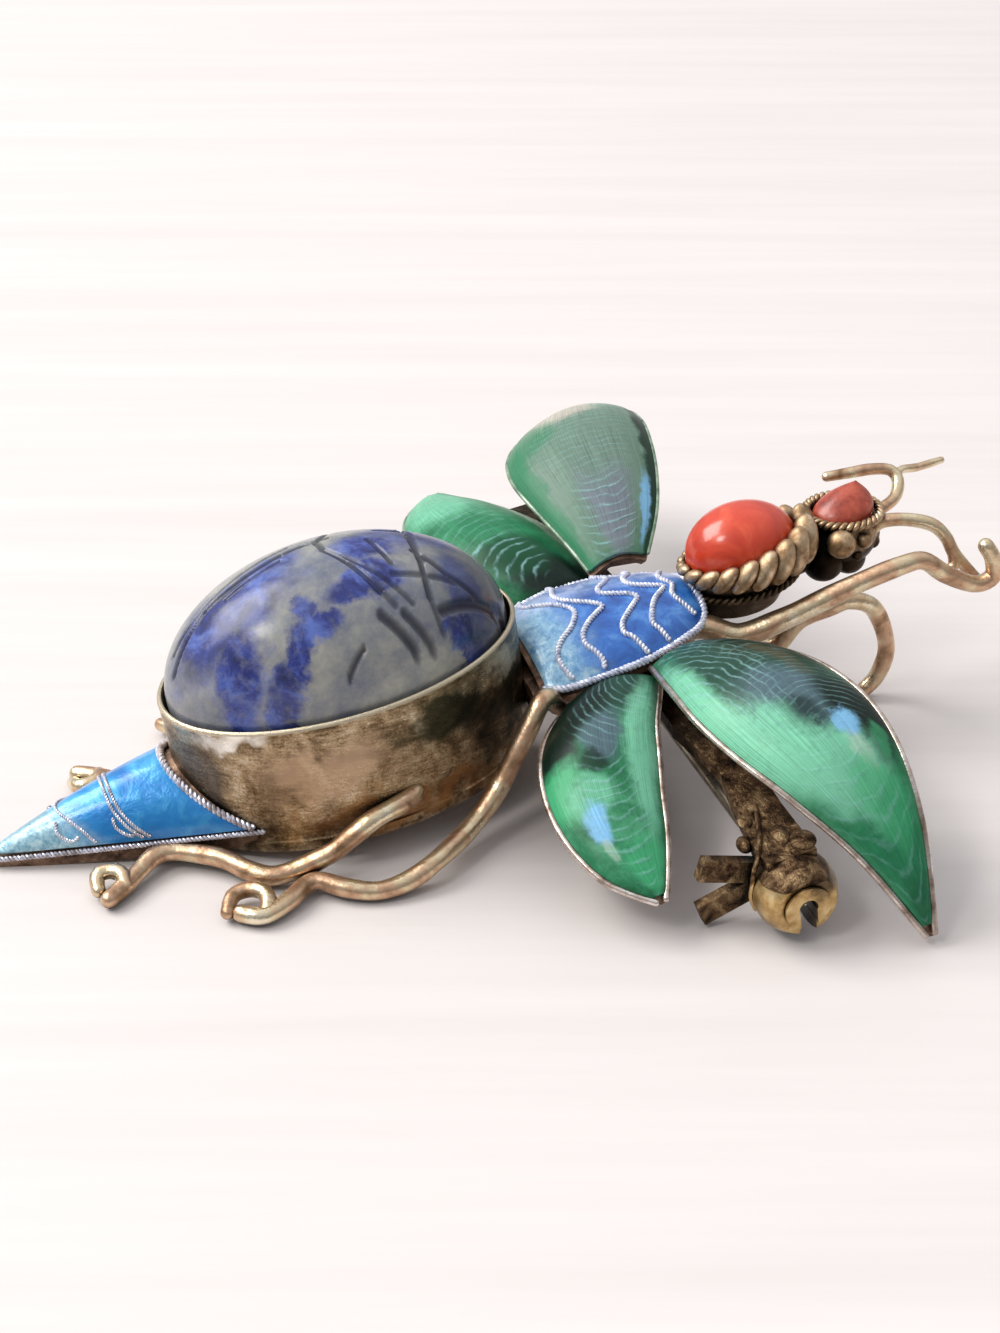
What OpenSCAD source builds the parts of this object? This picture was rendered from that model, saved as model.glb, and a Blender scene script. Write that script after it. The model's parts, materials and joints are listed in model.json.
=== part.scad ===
// Insect brooch: a carved stone body in a tall bezel, an enamelled tail, thorax and wings,
// coral cabochons in rope collars, bent wire legs and feelers, and a pin across the underside.
// The insect faces +X with its right side towards -Y. It lies nose up on a table at z = 0.
// Every piece is drawn level, with the middle of the base plate's underside as origin,
// and the whole brooch is then tipped and shifted to where it rests.

/* [Bezel and body stone] */
// Half length of the bezel, outside
bezel_a = 9.45; // [8.6:0.05:10.4]
// Half width of the bezel, outside
bezel_b = 6; // [5.2:0.05:7]
// Height of the bezel's rim over the table side of its base
bezel_h = 7.4; // [6.4:0.1:8.4]
// Thickness of the bezel wall
bezel_wall = 0.4; // [0.3:0.05:0.6]
// Thickness of the base plate
base_t = 0.6; // [0.4:0.05:1]
// How far the base plate stands out past the wall
base_lip = 0.22; // [0.1:0.02:0.4]
// Width of the ledge that the stone sits on
stone_ledge = 0.6; // [0.4:0.05:1]
// Depth of the stone below the rim
stone_depth = 2; // [1.4:0.1:2.8]
// Height of the stone's dome above the rim
dome_h = 6.1; // [5:0.1:7]
// Depth of the carved lines in the stone
carving_depth = 0.32; // [0.1:0.02:0.5]
// Gap around a seated stone
stone_gap = 0.05; // [0.03:0.01:0.1]

/* [Enamelled trays] */
// Thickness of the sheet under the enamel
sheet_t = 0.45; // [0.35:0.05:0.6]
// How much thicker the tail's sheet is
tail_extra_t = 0.1; // [0:0.05:0.2]
// Thickness of the enamel
enamel_t = 0.35; // [0.25:0.05:0.45]
// Gap between the enamel and its tray
enamel_gap = 0.04; // [0.03:0.01:0.08]
// Width of the raised border around each tray
border_w = 0.4; // [0.3:0.02:0.5]
// Bulge of that border's outer side
border_bulge = 0.1; // [0:0.02:0.15]

/* [Tail] */
// Length of the tail behind the bezel
tail_len = 10.6; // [9:0.1:11.5]
// Half width of the tail where it meets the bezel
tail_w = 4.7; // [4:0.1:5]
// Height of the tail's tip
tail_tip_z = 1.4; // [1:0.1:1.7]
// Height of the tail's side edges at the bezel
tail_edge_z = 1.05; // [0.8:0.1:1.6]
// Rise of the tail's crest over its edges at the bezel
tail_rise = 3; // [2:0.1:3.6]

/* [Thorax] */
// Length of the thorax in front of the bezel
thorax_len = 10.2; // [9:0.1:11.5]
// Half width of the thorax
thorax_w = 4.4; // [3.8:0.1:4.8]
// Height of the thorax's side edges
thorax_edge_z = 3.6; // [3.3:0.1:4]
// Rise of the thorax's crest over its edges
thorax_rise = 1.5; // [1:0.1:2]
// Half width of the block under the thorax
core_w = 3.2; // [2.6:0.1:3.6]

/* [Coral and head] */
// Half length of the coral on the shoulders
coral_a = 3.1; // [2.8:0.05:3.4]
// Half width of the coral on the shoulders
coral_b = 2.4; // [2.1:0.05:2.7]
// Height of the coral's dome
coral_dome = 2.4; // [1.8:0.1:3]
// Height of the coral's girdle
coral_z = 6.1; // [5.6:0.1:6.6]
// Gap between the thorax and the coral's collar
collar_gap = 0.1; // [0:0.05:0.3]
// Radius of the rope around the coral
rope_r = 0.66; // [0.5:0.02:0.8]
// Half length of the coral on the head
head_coral_a = 1.75; // [1.5:0.05:2]
// Half width of the coral on the head
head_coral_b = 1.5; // [1.3:0.05:1.7]
// Height of the head coral's dome
head_dome = 1.25; // [0.8:0.05:1.6]
// Radius of the rope around the head coral
head_rope_r = 0.36; // [0.28:0.02:0.42]
// Radius of the head
head_r = 1.75; // [1.5:0.05:2]
// Radius of an eye bead
eye_r = 0.78; // [0.6:0.02:0.9]

/* [Wings] */
// Reach of a forewing from its root to its tip
forewing_span = 18; // [17:0.1:19.5]
// Chord that the forewing's widths are measured in
forewing_chord = 8; // [7:0.1:9]
// Drop of a forewing's tip below its root
forewing_drop = 7.1; // [6:0.1:7.3]
// Reach of a hindwing from its root to its tip
hindwing_span = 12.7; // [11.5:0.1:14]
// Chord that the hindwing's widths are measured in
hindwing_chord = 8; // [7:0.1:9]
// Drop of a hindwing's tip below its root
hindwing_drop = 3.3; // [2.5:0.1:4]
// Bulge of a wing as a share of its chord
wing_camber = 0.2; // [0.12:0.01:0.24]
// Angle by which the left forewing is bent up towards its tip
left_forewing_lift = 8; // [0:1:20]
// Angle by which the left hindwing is bent up
left_hindwing_lift = 17; // [8:1:18]
// How much fuller the left forewing's trailing edge is in its middle, as a share of its chord
left_forewing_fuller = 0.09; // [0:0.01:0.16]
// How much fuller the left hindwing's leading edge is in its middle, as a share of its chord
left_hindwing_fuller = 0.12; // [0:0.01:0.16]
// Height of the left forewing's root over the right one's
left_forewing_up = 1.1; // [0.6:0.1:1.4]
// Height of the left hindwing's root over the right one's
left_hindwing_up = 0.3; // [0:0.1:0.6]

/* [Legs and feelers] */
// Radius of the leg wire
leg_r = 0.53; // [0.44:0.01:0.58]
// Radius of the feeler wire
feeler_r = 0.38; // [0.3:0.01:0.42]
// Length that a front leg is drawn to
front_leg = 16; // [14:0.1:17]
// Length that a middle leg is drawn to
middle_leg = 20; // [18.5:0.1:21]
// Length that a rear leg is drawn to
rear_leg = 18; // [17:0.1:19]
// How much further forward the left hindwing and the left middle and rear legs stand
left_forward = 0.7; // [0:0.1:1]
// Length that a feeler is drawn to
feeler = 8; // [6.5:0.1:9]

/* [Pin, hinge and catch] */
// Place of the pin along the insect
pin_x = 16.3; // [15.9:0.1:16.7]
// Height of the pin's middle, level brooch
pin_z = -1.3; // [-1.5:0.05:-1.2]
// Distance of the hinge from the insect's middle
hinge_y = 17; // [16:0.1:18]
// Distance of the catch's middle from the insect's middle
catch_y = 18.5; // [17.8:0.1:19.2]
// Radius of the pin along the stretch that holds the cloth
pin_r = 0.4; // [0.34:0.01:0.44]
// Half length of the stretch that holds the cloth
pin_half = 12.5; // [11:0.1:13]
// Radius of the pin where it lies in the catch
tip_r = 0.22; // [0.18:0.01:0.24]
// Length over which the pin tapers from one radius to the other
taper = 1.5; // [0.8:0.1:2]
// Width of the bar that carries hinge and catch
bar_w = 2.6; // [2:0.1:3.2]
// Reach of the bar's right arm to the tail side of the pin, at its waist
arm_waist = 0.5; // [0.4:0.05:0.8]
// Reach of the arm's heel over the catch, to the tail side
heel_back = 1.7; // [1.4:0.1:1.8]
// Reach of that heel to the head side
heel_front = 2.3; // [1.7:0.1:2.5]
// Thickness of that bar
bar_t = 0.8; // [0.6:0.05:0.9]
// Gap between the bar and the block that it is soldered to
solder_gap = 0.05; // [0:0.01:0.1]
// Thickness of each hinge lug
lug_t = 0.7; // [0.5:0.05:0.9]
// Half width of a hinge lug
lug_r = 1.3; // [1.1:0.05:1.6]
// Radius of the rivet through the hinge
rivet_r = 0.4; // [0.3:0.01:0.5]
// Gap around the rivet
rivet_gap = 0.03; // [0.02:0.01:0.06]
// Radius of the pin's knuckle
knuckle_r = 0.95; // [0.85:0.05:1.1]
// Width of the pin's knuckle
knuckle_w = 1.3; // [1:0.05:1.5]
// Gap beside the knuckle
knuckle_gap = 0.06; // [0.04:0.01:0.1]
// Step from each side of the knuckle in to the pin's neck
neck_step = 0.07; // [0.04:0.01:0.1]
// Radius of the catch's ball
ball_r = 2.1; // [1.95:0.05:2.2]
// Distance from the ball's middle to each of its flat ends
ball_half = 1.35; // [1.2:0.05:1.4]
// Radius of the turning barrel in the catch
barrel_r = 1.04; // [0.98:0.01:1.08]
// Running gap around the barrel
barrel_gap = 0.06; // [0.03:0.01:0.09]
// Radius of the hole in the barrel
throat_r = 0.5; // [0.46:0.01:0.54]
// Gap on each side of the pin in the slot
slot_gap = 0.23; // [0.15:0.01:0.24]
// Reach of the lever's two finger tabs from the pin
tab_reach = 4.5; // [3.8:0.1:4.8]
// Angle of the lower finger tab below the level
tab_down = 13; // [8:1:14]
// Angle of the upper finger tab over the level
tab_up = 23; // [20:1:28]
// Width of a finger tab
tab_w = 1.2; // [0.9:0.05:1.3]
// Thickness of the lever
tab_t = 0.6; // [0.4:0.05:0.7]

/* [Hidden] */
$fn = 48;
bezel_sides = 44;
hull_sides = 10;
gilt = [0.72, 0.58, 0.38];
// A full turn, in degrees
turn = 360;
// How far a cut runs past what it cuts
past = 1;

// Where the pieces meet, level brooch
thorax_x = bezel_a - 0.1;
thorax_end = bezel_a + thorax_len;
core_t = 1.7;
core_z = thorax_edge_z - core_t;
coral_x = thorax_end + coral_a - 0.35 + collar_gap;
collar_a = coral_a + 0.25;
collar_b = coral_b + 0.25;
head_x = coral_x + coral_a + 2.65;
head_z = coral_z - 1.2;
head_coral_at = [head_x + 0.25, 0, head_z + head_r - 0.35];
head_coral_tip = 8;
head_coral_sunk = 0.5;
coral_sunk = 0.6;
bar_top = core_z - solder_gap;
lug_inner = knuckle_w / 2 + knuckle_gap;
slot_w = 2 * (tip_r + slot_gap);
housing_bore = barrel_r + barrel_gap;

// Rows of a wing: share of span, leading and trailing edge as shares of chord, share of drop
FOREWING_ROWS = [
    [0.00, 0.21, -0.21, 0.00],
    [0.15, 0.44, -0.26, 0.14],
    [0.30, 0.59, -0.29, 0.23],
    [0.45, 0.69, -0.29, 0.26],
    [0.60, 0.76, -0.20, 0.19],
    [0.75, 0.77, 0.00, 0.00],
    [0.88, 0.74, 0.29, -0.41],
    [1.00, 0.65, 0.57, -1.00]];
HINDWING_ROWS = [
    [0.00, 0.32, -0.30, 0.00],
    [0.15, 0.21, -0.55, 0.03],
    [0.30, 0.09, -0.71, 0.00],
    [0.45, 0.00, -0.79, -0.14],
    [0.60, -0.09, -0.81, -0.33],
    [0.75, -0.17, -0.77, -0.55],
    [0.88, -0.26, -0.66, -0.79],
    [1.00, -0.36, -0.44, -1.00]];
// Roots of the wings: how far they lie behind the front of the thorax, in from its side and below its edge
forewing_in = [2.75, 0.6, 0.6];
hindwing_in = [6.45, 0.2, 1.1];
forewing_root = [thorax_end, thorax_w, thorax_edge_z] - forewing_in;
hindwing_root = [thorax_end, thorax_w, thorax_edge_z] - hindwing_in;

// Rows of the thorax: share of length, share of half width, share of rise
THORAX_ROWS = [
    [0.00, 0.86, 0.60],
    [0.12, 1.00, 0.80],
    [0.35, 1.00, 1.00],
    [0.60, 0.93, 0.96],
    [0.82, 0.74, 0.80],
    [0.95, 0.52, 0.62],
    [1.00, 0.38, 0.55]];

// Routes of the wires as shares of their length, from where each leaves the body:
// forward, sideways, up. The right side's sideways values are negative.
FRONT_LEG = [[-0.07, 0.03, 0], [0, 0, 0], [0.10, -0.05, -0.04], [0.24, -0.08, -0.01],
    [0.37, -0.09, 0.02], [0.51, -0.11, 0.06], [0.66, -0.13, 0.09], [0.74, -0.13, 0.08],
    [0.81, -0.14, 0.01], [0.92, -0.14, -0.07], [0.99, -0.14, -0.06], [0.99, -0.14, 0.01],
    [0.97, -0.13, 0.06]];
BENT_LEG = [[-0.06, 0.02, 0.02], [0.05, 0.0, -0.03], [0.16, -0.06, -0.13], [0.25, -0.10, -0.20],
    [0.33, -0.14, -0.21], [0.42, -0.16, -0.12], [0.53, -0.18, -0.09], [0.60, -0.18, -0.09],
    [0.68, -0.18, -0.14], [0.72, -0.18, -0.24], [0.73, -0.18, -0.35], [0.69, -0.18, -0.44],
    [0.64, -0.18, -0.48]];
MIDDLE_LEG = [[0.05, 0.05, -0.07], [0, 0, 0], [-0.08, -0.04, -0.07], [-0.18, -0.08, -0.17],
    [-0.28, -0.13, -0.22], [-0.40, -0.21, -0.22], [-0.48, -0.23, -0.235], [-0.56, -0.23, -0.235],
    [-0.63, -0.20, -0.22], [-0.69, -0.155, -0.205], [-0.73, -0.16, -0.205], [-0.78, -0.20, -0.20],
    [-0.85, -0.23, -0.195], [-0.90, -0.20, -0.19]];
MIDDLE_TOE = [[-0.84, -0.225, -0.195], [-0.825, -0.185, -0.185], [-0.835, -0.15, -0.18],
    [-0.87, -0.13, -0.18], [-0.905, -0.14, -0.18], [-0.93, -0.185, -0.185]];
REAR_LEG = [[0.04, 0.03, 0], [0, 0, 0], [-0.10, -0.02, -0.01], [-0.18, -0.03, -0.04],
    [-0.24, -0.04, -0.06], [-0.33, -0.03, -0.085], [-0.41, -0.02, -0.09], [-0.465, 0.02, -0.08],
    [-0.52, 0.09, -0.065], [-0.58, 0.135, -0.055], [-0.65, 0.17, -0.045], [-0.70, 0.165, -0.04],
    [-0.75, 0.13, -0.045], [-0.80, 0.085, -0.043], [-0.855, 0.045, -0.04]];
REAR_TOE = [[-0.80, 0.08, -0.04], [-0.80, 0.115, -0.025], [-0.83, 0.14, -0.02],
    [-0.865, 0.135, -0.02], [-0.875, 0.09, -0.035]];
RIGHT_FEELER = [[-0.08, 0.03, -0.07], [0, 0, 0], [0.15, -0.06, 0], [0.31, -0.12, -0.06],
    [0.39, -0.17, -0.16], [0.43, -0.22, -0.29], [0.54, -0.30, -0.47]];
RIGHT_FEELER_FORK = [[0.42, -0.21, -0.26], [0.40, -0.25, -0.35], [0.31, -0.27, -0.38]];
LEFT_FEELER = [[-0.08, -0.03, -0.07], [0.08, -0.02, -0.03], [0.23, 0.05, -0.02], [0.31, 0.15, 0.03],
    [0.29, 0.22, 0.09], [0.16, 0.25, 0.125], [0.02, 0.275, 0.13], [-0.15, 0.30, 0.14]];
LEFT_FEELER_FORK = [[0.31, 0.18, 0.05], [0.38, 0.23, 0.06], [0.51, 0.26, 0.02], [0.72, 0.30, -0.01]];

front_leg_at = [thorax_end - 0.45, -2.2, thorax_edge_z - 0.25];
bent_leg_at = [thorax_end - 1.25, 1.6, thorax_edge_z - 0.8];
middle_leg_at = [bezel_a - 0.35, -4.8, thorax_edge_z + 0.4];
rear_leg_at = [0.7, -bezel_b - 0.3, 1.7];
feeler_at = [head_x + head_r + 0.35, -0.8, head_z + 0.5];

// Slots through which the carved stone is cut: from, to, width, as shares of its half length and half width
CARVED_LINES = [
    [[-0.90, -0.06], [-0.43, 0.12], 0.07],
    [[-0.43, 0.12], [0.11, 0.23], 0.07],
    [[0.02, 0.24], [0.12, -0.20], 0.07],
    [[0.12, -0.20], [0.29, -0.66], 0.07],
    [[0.04, 0.24], [0.30, 0.82], 0.07],
    [[0.54, 0.21], [0.51, -0.77], 0.07],
    [[0.54, 0.21], [0.52, 0.75], 0.07],
    [[0.51, -0.16], [0.78, -0.48], 0.06],
    [[0.54, -0.67], [0.90, -0.42], 0.06]];

// Small vector helpers
function unit(v) = v / norm(v);
function tangent(p, i) = unit(p[min(i + 1, len(p) - 1)] - p[max(i - 1, 0)]);
function blend(a, b, c, d, t) = 0.5 * (2 * b + (c - a) * t + (2 * a - 5 * b + 4 * c - d) * t * t
    + (3 * b - a - 3 * c + d) * t * t * t);

// Points of a smooth curve through p, with k steps from each point to the next
function smooth(p, k) = concat(
    [for (i = [0 : len(p) - 2], s = [0 : k - 1])
        blend(p[max(i - 1, 0)], p[i], p[i + 1], p[min(i + 2, len(p) - 1)], s / k)],
    [p[len(p) - 1]]);

// One side direction for each point of a path, turned as little as possible along it
function carried(p, i, side) = let (t = tangent(p, i), u = unit(side - (side * t) * t))
    i == len(p) - 1 ? [u] : concat([u], carried(p, i + 1, u));

// Closed solid through rings of equally many points, with caps or joined end to end
module skin(rings, loop = false) {
    n = len(rings[0]);
    m = len(rings);
    points = [for (r = rings) each r];
    walls = [for (i = [0 : (loop ? m - 1 : m - 2)], j = [0 : n - 1])
        let (a = i * n, b = ((i + 1) % m) * n, k = (j + 1) % n)
        each [[a + j, a + k, b + k], [a + j, b + k, b + j]]];
    last = [1, 1, 1] * (m - 1) * n;
    zigzag = [for (k = [0 : n - 1]) k % 2 == 0 ? k / 2 : n - (k + 1) / 2];
    caps = loop ? [] : [for (k = [0 : n - 3])
        let (f = [zigzag[k], zigzag[k + 1], zigzag[k + 2]], g = [f[0], f[2], f[1]])
        each k % 2 == 0 ? [f, g + last] : [g, f + last]];
    faces = concat(walls, caps);
    volume = [for (f = faces) points[f[0]] * cross(points[f[1]], points[f[2]])]
        * [for (f = faces) 1];
    polyhedron(points, volume > 0 ? [for (f = faces) [f[2], f[1], f[0]]] : faces, convexity = 8);
}

// Round wire along a path, a little thinner at its ends
module wire(path, r, sides) {
    start = abs(tangent(path, 0)[2]) > 0.8 ? [1, 0, 0] : [0, 0, 1];
    sideways = carried(path, 0, start);
    skin([for (i = [0 : len(path) - 1])
        let (u = sideways[i], w = cross(tangent(path, i), u),
            s = r * (i == 0 || i == len(path) - 1 ? 0.7 : 1))
        [for (j = [0 : sides - 1]) path[i] + s * (cos(turn * j / sides) * u + sin(turn * j / sides) * w)]]);
}

// Two strands twisted together and laid round an oval, thinner towards the tail
module rope(a, b, r, twists, steps, swell) {
    sides = 6;
    skin([for (i = [0 : steps - 1])
        let (t = turn * i / steps, out = unit([b * cos(t), a * sin(t), 0]),
            thick = r * (1 - swell * (1 - cos(t))))
        [for (j = [0 : sides - 1])
            let (s = turn * j / sides, w = thick * (0.82 + 0.18 * cos(2 * s + twists * t)))
            [(a + thick) * cos(t), (b + thick) * sin(t), 0] + w * (cos(s) * out + sin(s) * [0, 0, 1])]],
        loop = true);
}

// Upward normal of a surface at(s, t, edge)
function normal_of(at, s, t, edge) = let (e = 0.01,
    a = at(min(s + e, 1), t, edge) - at(max(s - e, e / 4), t, edge),
    b = at(s, t + e, edge) - at(s, t - e, edge),
    n = unit(cross(a, b)))
    n[2] < 0 ? -n : n;
function above(at, s, t, edge, h) = at(s, t, edge) + h * normal_of(at, s, t, edge);
function even(from, to, n) = [for (i = [0 : n]) from + (to - from) * i / n];

// Tray that follows a surface: a sheet with a raised border. The floor lies between the rows
// inside, the border runs along both sides and over both ends.
module tray(at, start, inside, end, thick, cols, low_cols) {
    step = 0.01;
    rows = concat([[start, true], [inside[0] - step, true]], [for (s = inside) [s, false]],
        [[inside[len(inside) - 1] + step, true], [end, true]]);
    across = even(-1, 1, cols);
    below = even(1, -1, low_cols);
    skin([for (row = rows) let (s = row[0], floor_h = row[1] ? enamel_t : 0) concat(
        [above(at, s, -1, 0, enamel_t), above(at, s, -1, 0.8 * border_w, enamel_t)],
        [for (t = across) above(at, s, t, border_w, floor_h)],
        [above(at, s, 1, 0.8 * border_w, enamel_t), above(at, s, 1, 0, enamel_t)],
        [above(at, s, 1, -border_bulge, (enamel_t - thick) / 2)],
        [for (t = below) above(at, s, t, 0, -thick)],
        [above(at, s, -1, -border_bulge, (enamel_t - thick) / 2)])]);
}

// Enamel that fills such a tray
module enamel(at, inside, cols) {
    last = len(inside) - 1;
    step = enamel_gap / 6;
    rows = [for (i = [0 : last]) inside[i] + (i == 0 ? step : i == last ? -step : 0)];
    across = even(-1, 1, cols);
    back = even(1, -1, cols);
    edge = border_w + enamel_gap;
    skin([for (s = rows) concat(
        [for (t = across) above(at, s, t, edge, enamel_gap + enamel_t * (abs(t) > 0.99 ? 0.9 : 1))],
        [for (t = back) above(at, s, t, edge, enamel_gap)])]);
}

module oval(a, b, sides = 24) {
    polygon([for (i = [0 : sides - 1]) [a * cos(turn * i / sides), b * sin(turn * i / sides)]]);
}

// Oval stone: straight sides from z = -sunk up to its girdle at z = 0, then a dome
module cabochon(a, b, dome, sunk, steps, rows) {
    skin(concat(
        [[for (i = [0 : steps - 1]) [a * cos(turn * i / steps), b * sin(turn * i / steps), -sunk]]],
        [for (k = [0 : rows - 1]) let (e = 90 * k / rows)
            [for (i = [0 : steps - 1]) let (t = turn * i / steps)
                [a * cos(e) * cos(t), b * cos(e) * sin(t), dome * sin(e)]]],
        [[for (i = [0 : steps - 1]) let (t = turn * i / steps, e = 86)
            [a * cos(e) * cos(t), b * cos(e) * sin(t), dome]]]));
}

// Tail: s runs from the tip to the bezel, t from the right edge to the left one
tail_root_a = bezel_a - 0.35;
tail_root_b = bezel_b - 0.35;
tail_at = function (s, t, edge) let (
    v = t * max(0.1, 1 - edge / (tail_w * s)),
    root_y = min(tail_w * abs(v), tail_root_b - 0.5),
    root = -tail_root_a * sqrt(1 - pow(root_y / tail_root_b, 2)),
    tip = -bezel_a - tail_len)
    [tip + s * (root - tip), s * tail_w * v,
        tail_tip_z + s * (tail_edge_z - tail_tip_z)
        + tail_rise * (1 - pow(1 - s, 1.6)) * (1 - pow(abs(v), 1.8))];
tail_start = 0.04;
tail_inside = even(0.17, 1 - 1.1 / tail_len, 7);

// Thorax: s runs forward from the bezel, t from the right edge to the left one
thorax_rows = smooth(THORAX_ROWS, 3);
function row_share(rows, k, s) = lookup(s, [for (r = rows) [r[0], r[k]]]);
thorax_at = function (s, t, edge) let (
    w = thorax_w * row_share(thorax_rows, 1, s),
    v = t * max(0.1, 1 - edge / w))
    [thorax_x + s * (thorax_end - thorax_x), w * v,
        thorax_edge_z + thorax_rise * row_share(thorax_rows, 2, s) * (1 - pow(abs(v), 2.2))];
thorax_inside = even(0.06, 1 - 0.5 / thorax_len, 9);

// Left wings: s runs from the root to the tip, t from the trailing to the leading edge
function wing_point(rows, root, span, chord, drop, fuller, s, t, edge) = let (
    belly = pow(sin(turn / 2 * s), 2),
    lead = chord * (row_share(rows, 1, s) + fuller[0] * belly),
    trail = chord * (row_share(rows, 2, s) - fuller[1] * belly),
    half = (lead - trail) / 2,
    v = t * max(0.12, 1 - edge / half))
    root + [(lead + trail) / 2 + half * v, s * span,
        drop * row_share(rows, 3, s) + wing_camber * 2 * half * (1 - v * v)];
function bent_up(p, root, angle) = let (y = p[1] - root[1], z = p[2] - root[2])
    [p[0], root[1] + y * cos(angle) - z * sin(angle), root[2] + y * sin(angle) + z * cos(angle)];
forewing_rows = smooth(FOREWING_ROWS, 3);
hindwing_rows = smooth(HINDWING_ROWS, 3);
function forewing_at(root, lift, fuller) = function (s, t, edge) bent_up(
    wing_point(forewing_rows, root, forewing_span, forewing_chord, forewing_drop, [0, fuller], s, t, edge),
    root, lift * s * s);
function hindwing_at(root, lift, fuller) = function (s, t, edge) bent_up(
    wing_point(hindwing_rows, root, hindwing_span, hindwing_chord, hindwing_drop, [fuller, 0], s, t, edge),
    root, lift);
left_forewing_root = forewing_root + [0, 0.25, left_forewing_up];
left_hindwing_root = hindwing_root + [left_forward, 0.35, left_hindwing_up];
left_forewing = forewing_at(left_forewing_root, left_forewing_lift, left_forewing_fuller);
left_hindwing = hindwing_at(left_hindwing_root, left_hindwing_lift, left_hindwing_fuller);
mirrored_right_forewing = forewing_at(forewing_root, 0, 0);
mirrored_right_hindwing = hindwing_at(hindwing_root, 0, 0);
forewing_inside = even((thorax_w + 0.5 - forewing_root[1]) / forewing_span, 0.965, 10);
hindwing_inside = even((thorax_w + 0.5 - hindwing_root[1]) / hindwing_span, 0.955, 8);

// How the brooch rests: tipped nose up until a rear foot and the bent leg's foot are level,
// then lowered until the lowest of its feet, wing tips, lugs and tail tip touches the table
function lower(p, d) = p - [0, 0, d];
rear_foot = lower(rear_leg_at + rear_leg * REAR_LEG[len(REAR_LEG) - 1], leg_r);
middle_foot = lower(middle_leg_at + middle_leg * MIDDLE_LEG[7], leg_r);
bent_foot = lower(bent_leg_at + front_leg * BENT_LEG[len(BENT_LEG) - 1], leg_r);
tip_right = above(mirrored_right_forewing, 1, 0, 0, -sheet_t);
tip_left = above(left_forewing, 1, 0, 0, -sheet_t);
tail_low = above(tail_at, tail_start, 0, 0, -sheet_t - tail_extra_t);
lug_end = [pin_x - lug_inner - lug_t, hinge_y, pin_z - lug_r];
rest_pitch = atan2(rear_foot[2] - bent_foot[2], bent_foot[0] - rear_foot[0]);
function rested(p) = [p[0] * cos(rest_pitch) - p[2] * sin(rest_pitch), p[1],
    p[0] * sin(rest_pitch) + p[2] * cos(rest_pitch)];
lowest = min([for (p = [rear_foot, middle_foot, bent_foot, tip_right, tip_left, tail_low, lug_end])
    rested(p)[2]]);
tail_end = rested([-bezel_a - tail_len, 0, tail_tip_z])[0];
feeler_end = rested([feeler_at[0], 0, feeler_at[2]] + feeler * LEFT_FEELER_FORK[3])[0];
middle_x = (tail_end + feeler_end) / 2;
middle_y = (tip_left[1] - tip_right[1]) / 2;

module at_rest() {
    translate([-middle_x, -middle_y, -lowest]) rotate([0, -rest_pitch, 0]) children();
}

module bezel_cup() {
    difference() {
        union() {
            linear_extrude(base_t) oval(bezel_a + base_lip, bezel_b + base_lip, bezel_sides);
            linear_extrude(bezel_h) oval(bezel_a, bezel_b, bezel_sides);
        }
        translate([0, 0, bezel_h - stone_depth - stone_gap])
            linear_extrude(bezel_h) oval(bezel_a - bezel_wall, bezel_b - bezel_wall, bezel_sides);
        translate([0, 0, base_t])
            linear_extrude(bezel_h)
                oval(bezel_a - bezel_wall - stone_ledge, bezel_b - bezel_wall - stone_ledge);
    }
}

module tail_tray() {
    tray(tail_at, tail_start, tail_inside, 1, sheet_t + tail_extra_t, 8, 4);
}

module thorax_tray() {
    tray(thorax_at, 0, thorax_inside, 1, sheet_t, 8, 4);
    // block that joins the trays, the bezel and the collar, narrower at both ends
    broad_len = 4.4;
    narrow_w = 1.2 * core_w;
    hull() {
        translate([bezel_a - 0.2, 0, thorax_edge_z - 0.6]) cube([0.4, narrow_w, 1.2], center = true);
        translate([bezel_a + 2, -core_w, core_z]) cube([broad_len, 2 * core_w, core_t]);
        translate([thorax_end - 2, -narrow_w / 2, core_z]) cube([1, narrow_w, core_t + 0.1]);
    }
}

module coral_collar() {
    translate([coral_x, 0, 0]) {
        // cup below the stone
        difference() {
            hull() {
                translate([0, 0, coral_z - 0.45]) linear_extrude(0.3) oval(collar_a, collar_b);
                translate([-0.4, 0, core_z + 0.9]) linear_extrude(0.3)
                    oval(0.72 * collar_a, 0.7 * collar_b, 16);
            }
            translate([0, 0, coral_z - coral_sunk - stone_gap])
                linear_extrude(2) oval(coral_a + stone_gap, coral_b + stone_gap);
        }
        translate([0, 0, coral_z - 0.55])
            rope(coral_a + stone_gap, coral_b + stone_gap, rope_r, 11, 33, 0.2);
    }
    // neck, and the foot under the collar
    hull() {
        translate([coral_x + 1, 0, coral_z - 2]) sphere(1.2, $fn = hull_sides);
        translate([head_x - 0.9, 0, head_z - 0.3]) sphere(1, $fn = hull_sides);
    }
    hull() {
        translate([thorax_end - 2.2, 0, core_z + 0.9]) sphere(0.85, $fn = hull_sides);
        translate([coral_x - 0.4, 0, core_z + 1.3]) sphere(0.85, $fn = hull_sides);
    }
}

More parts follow.
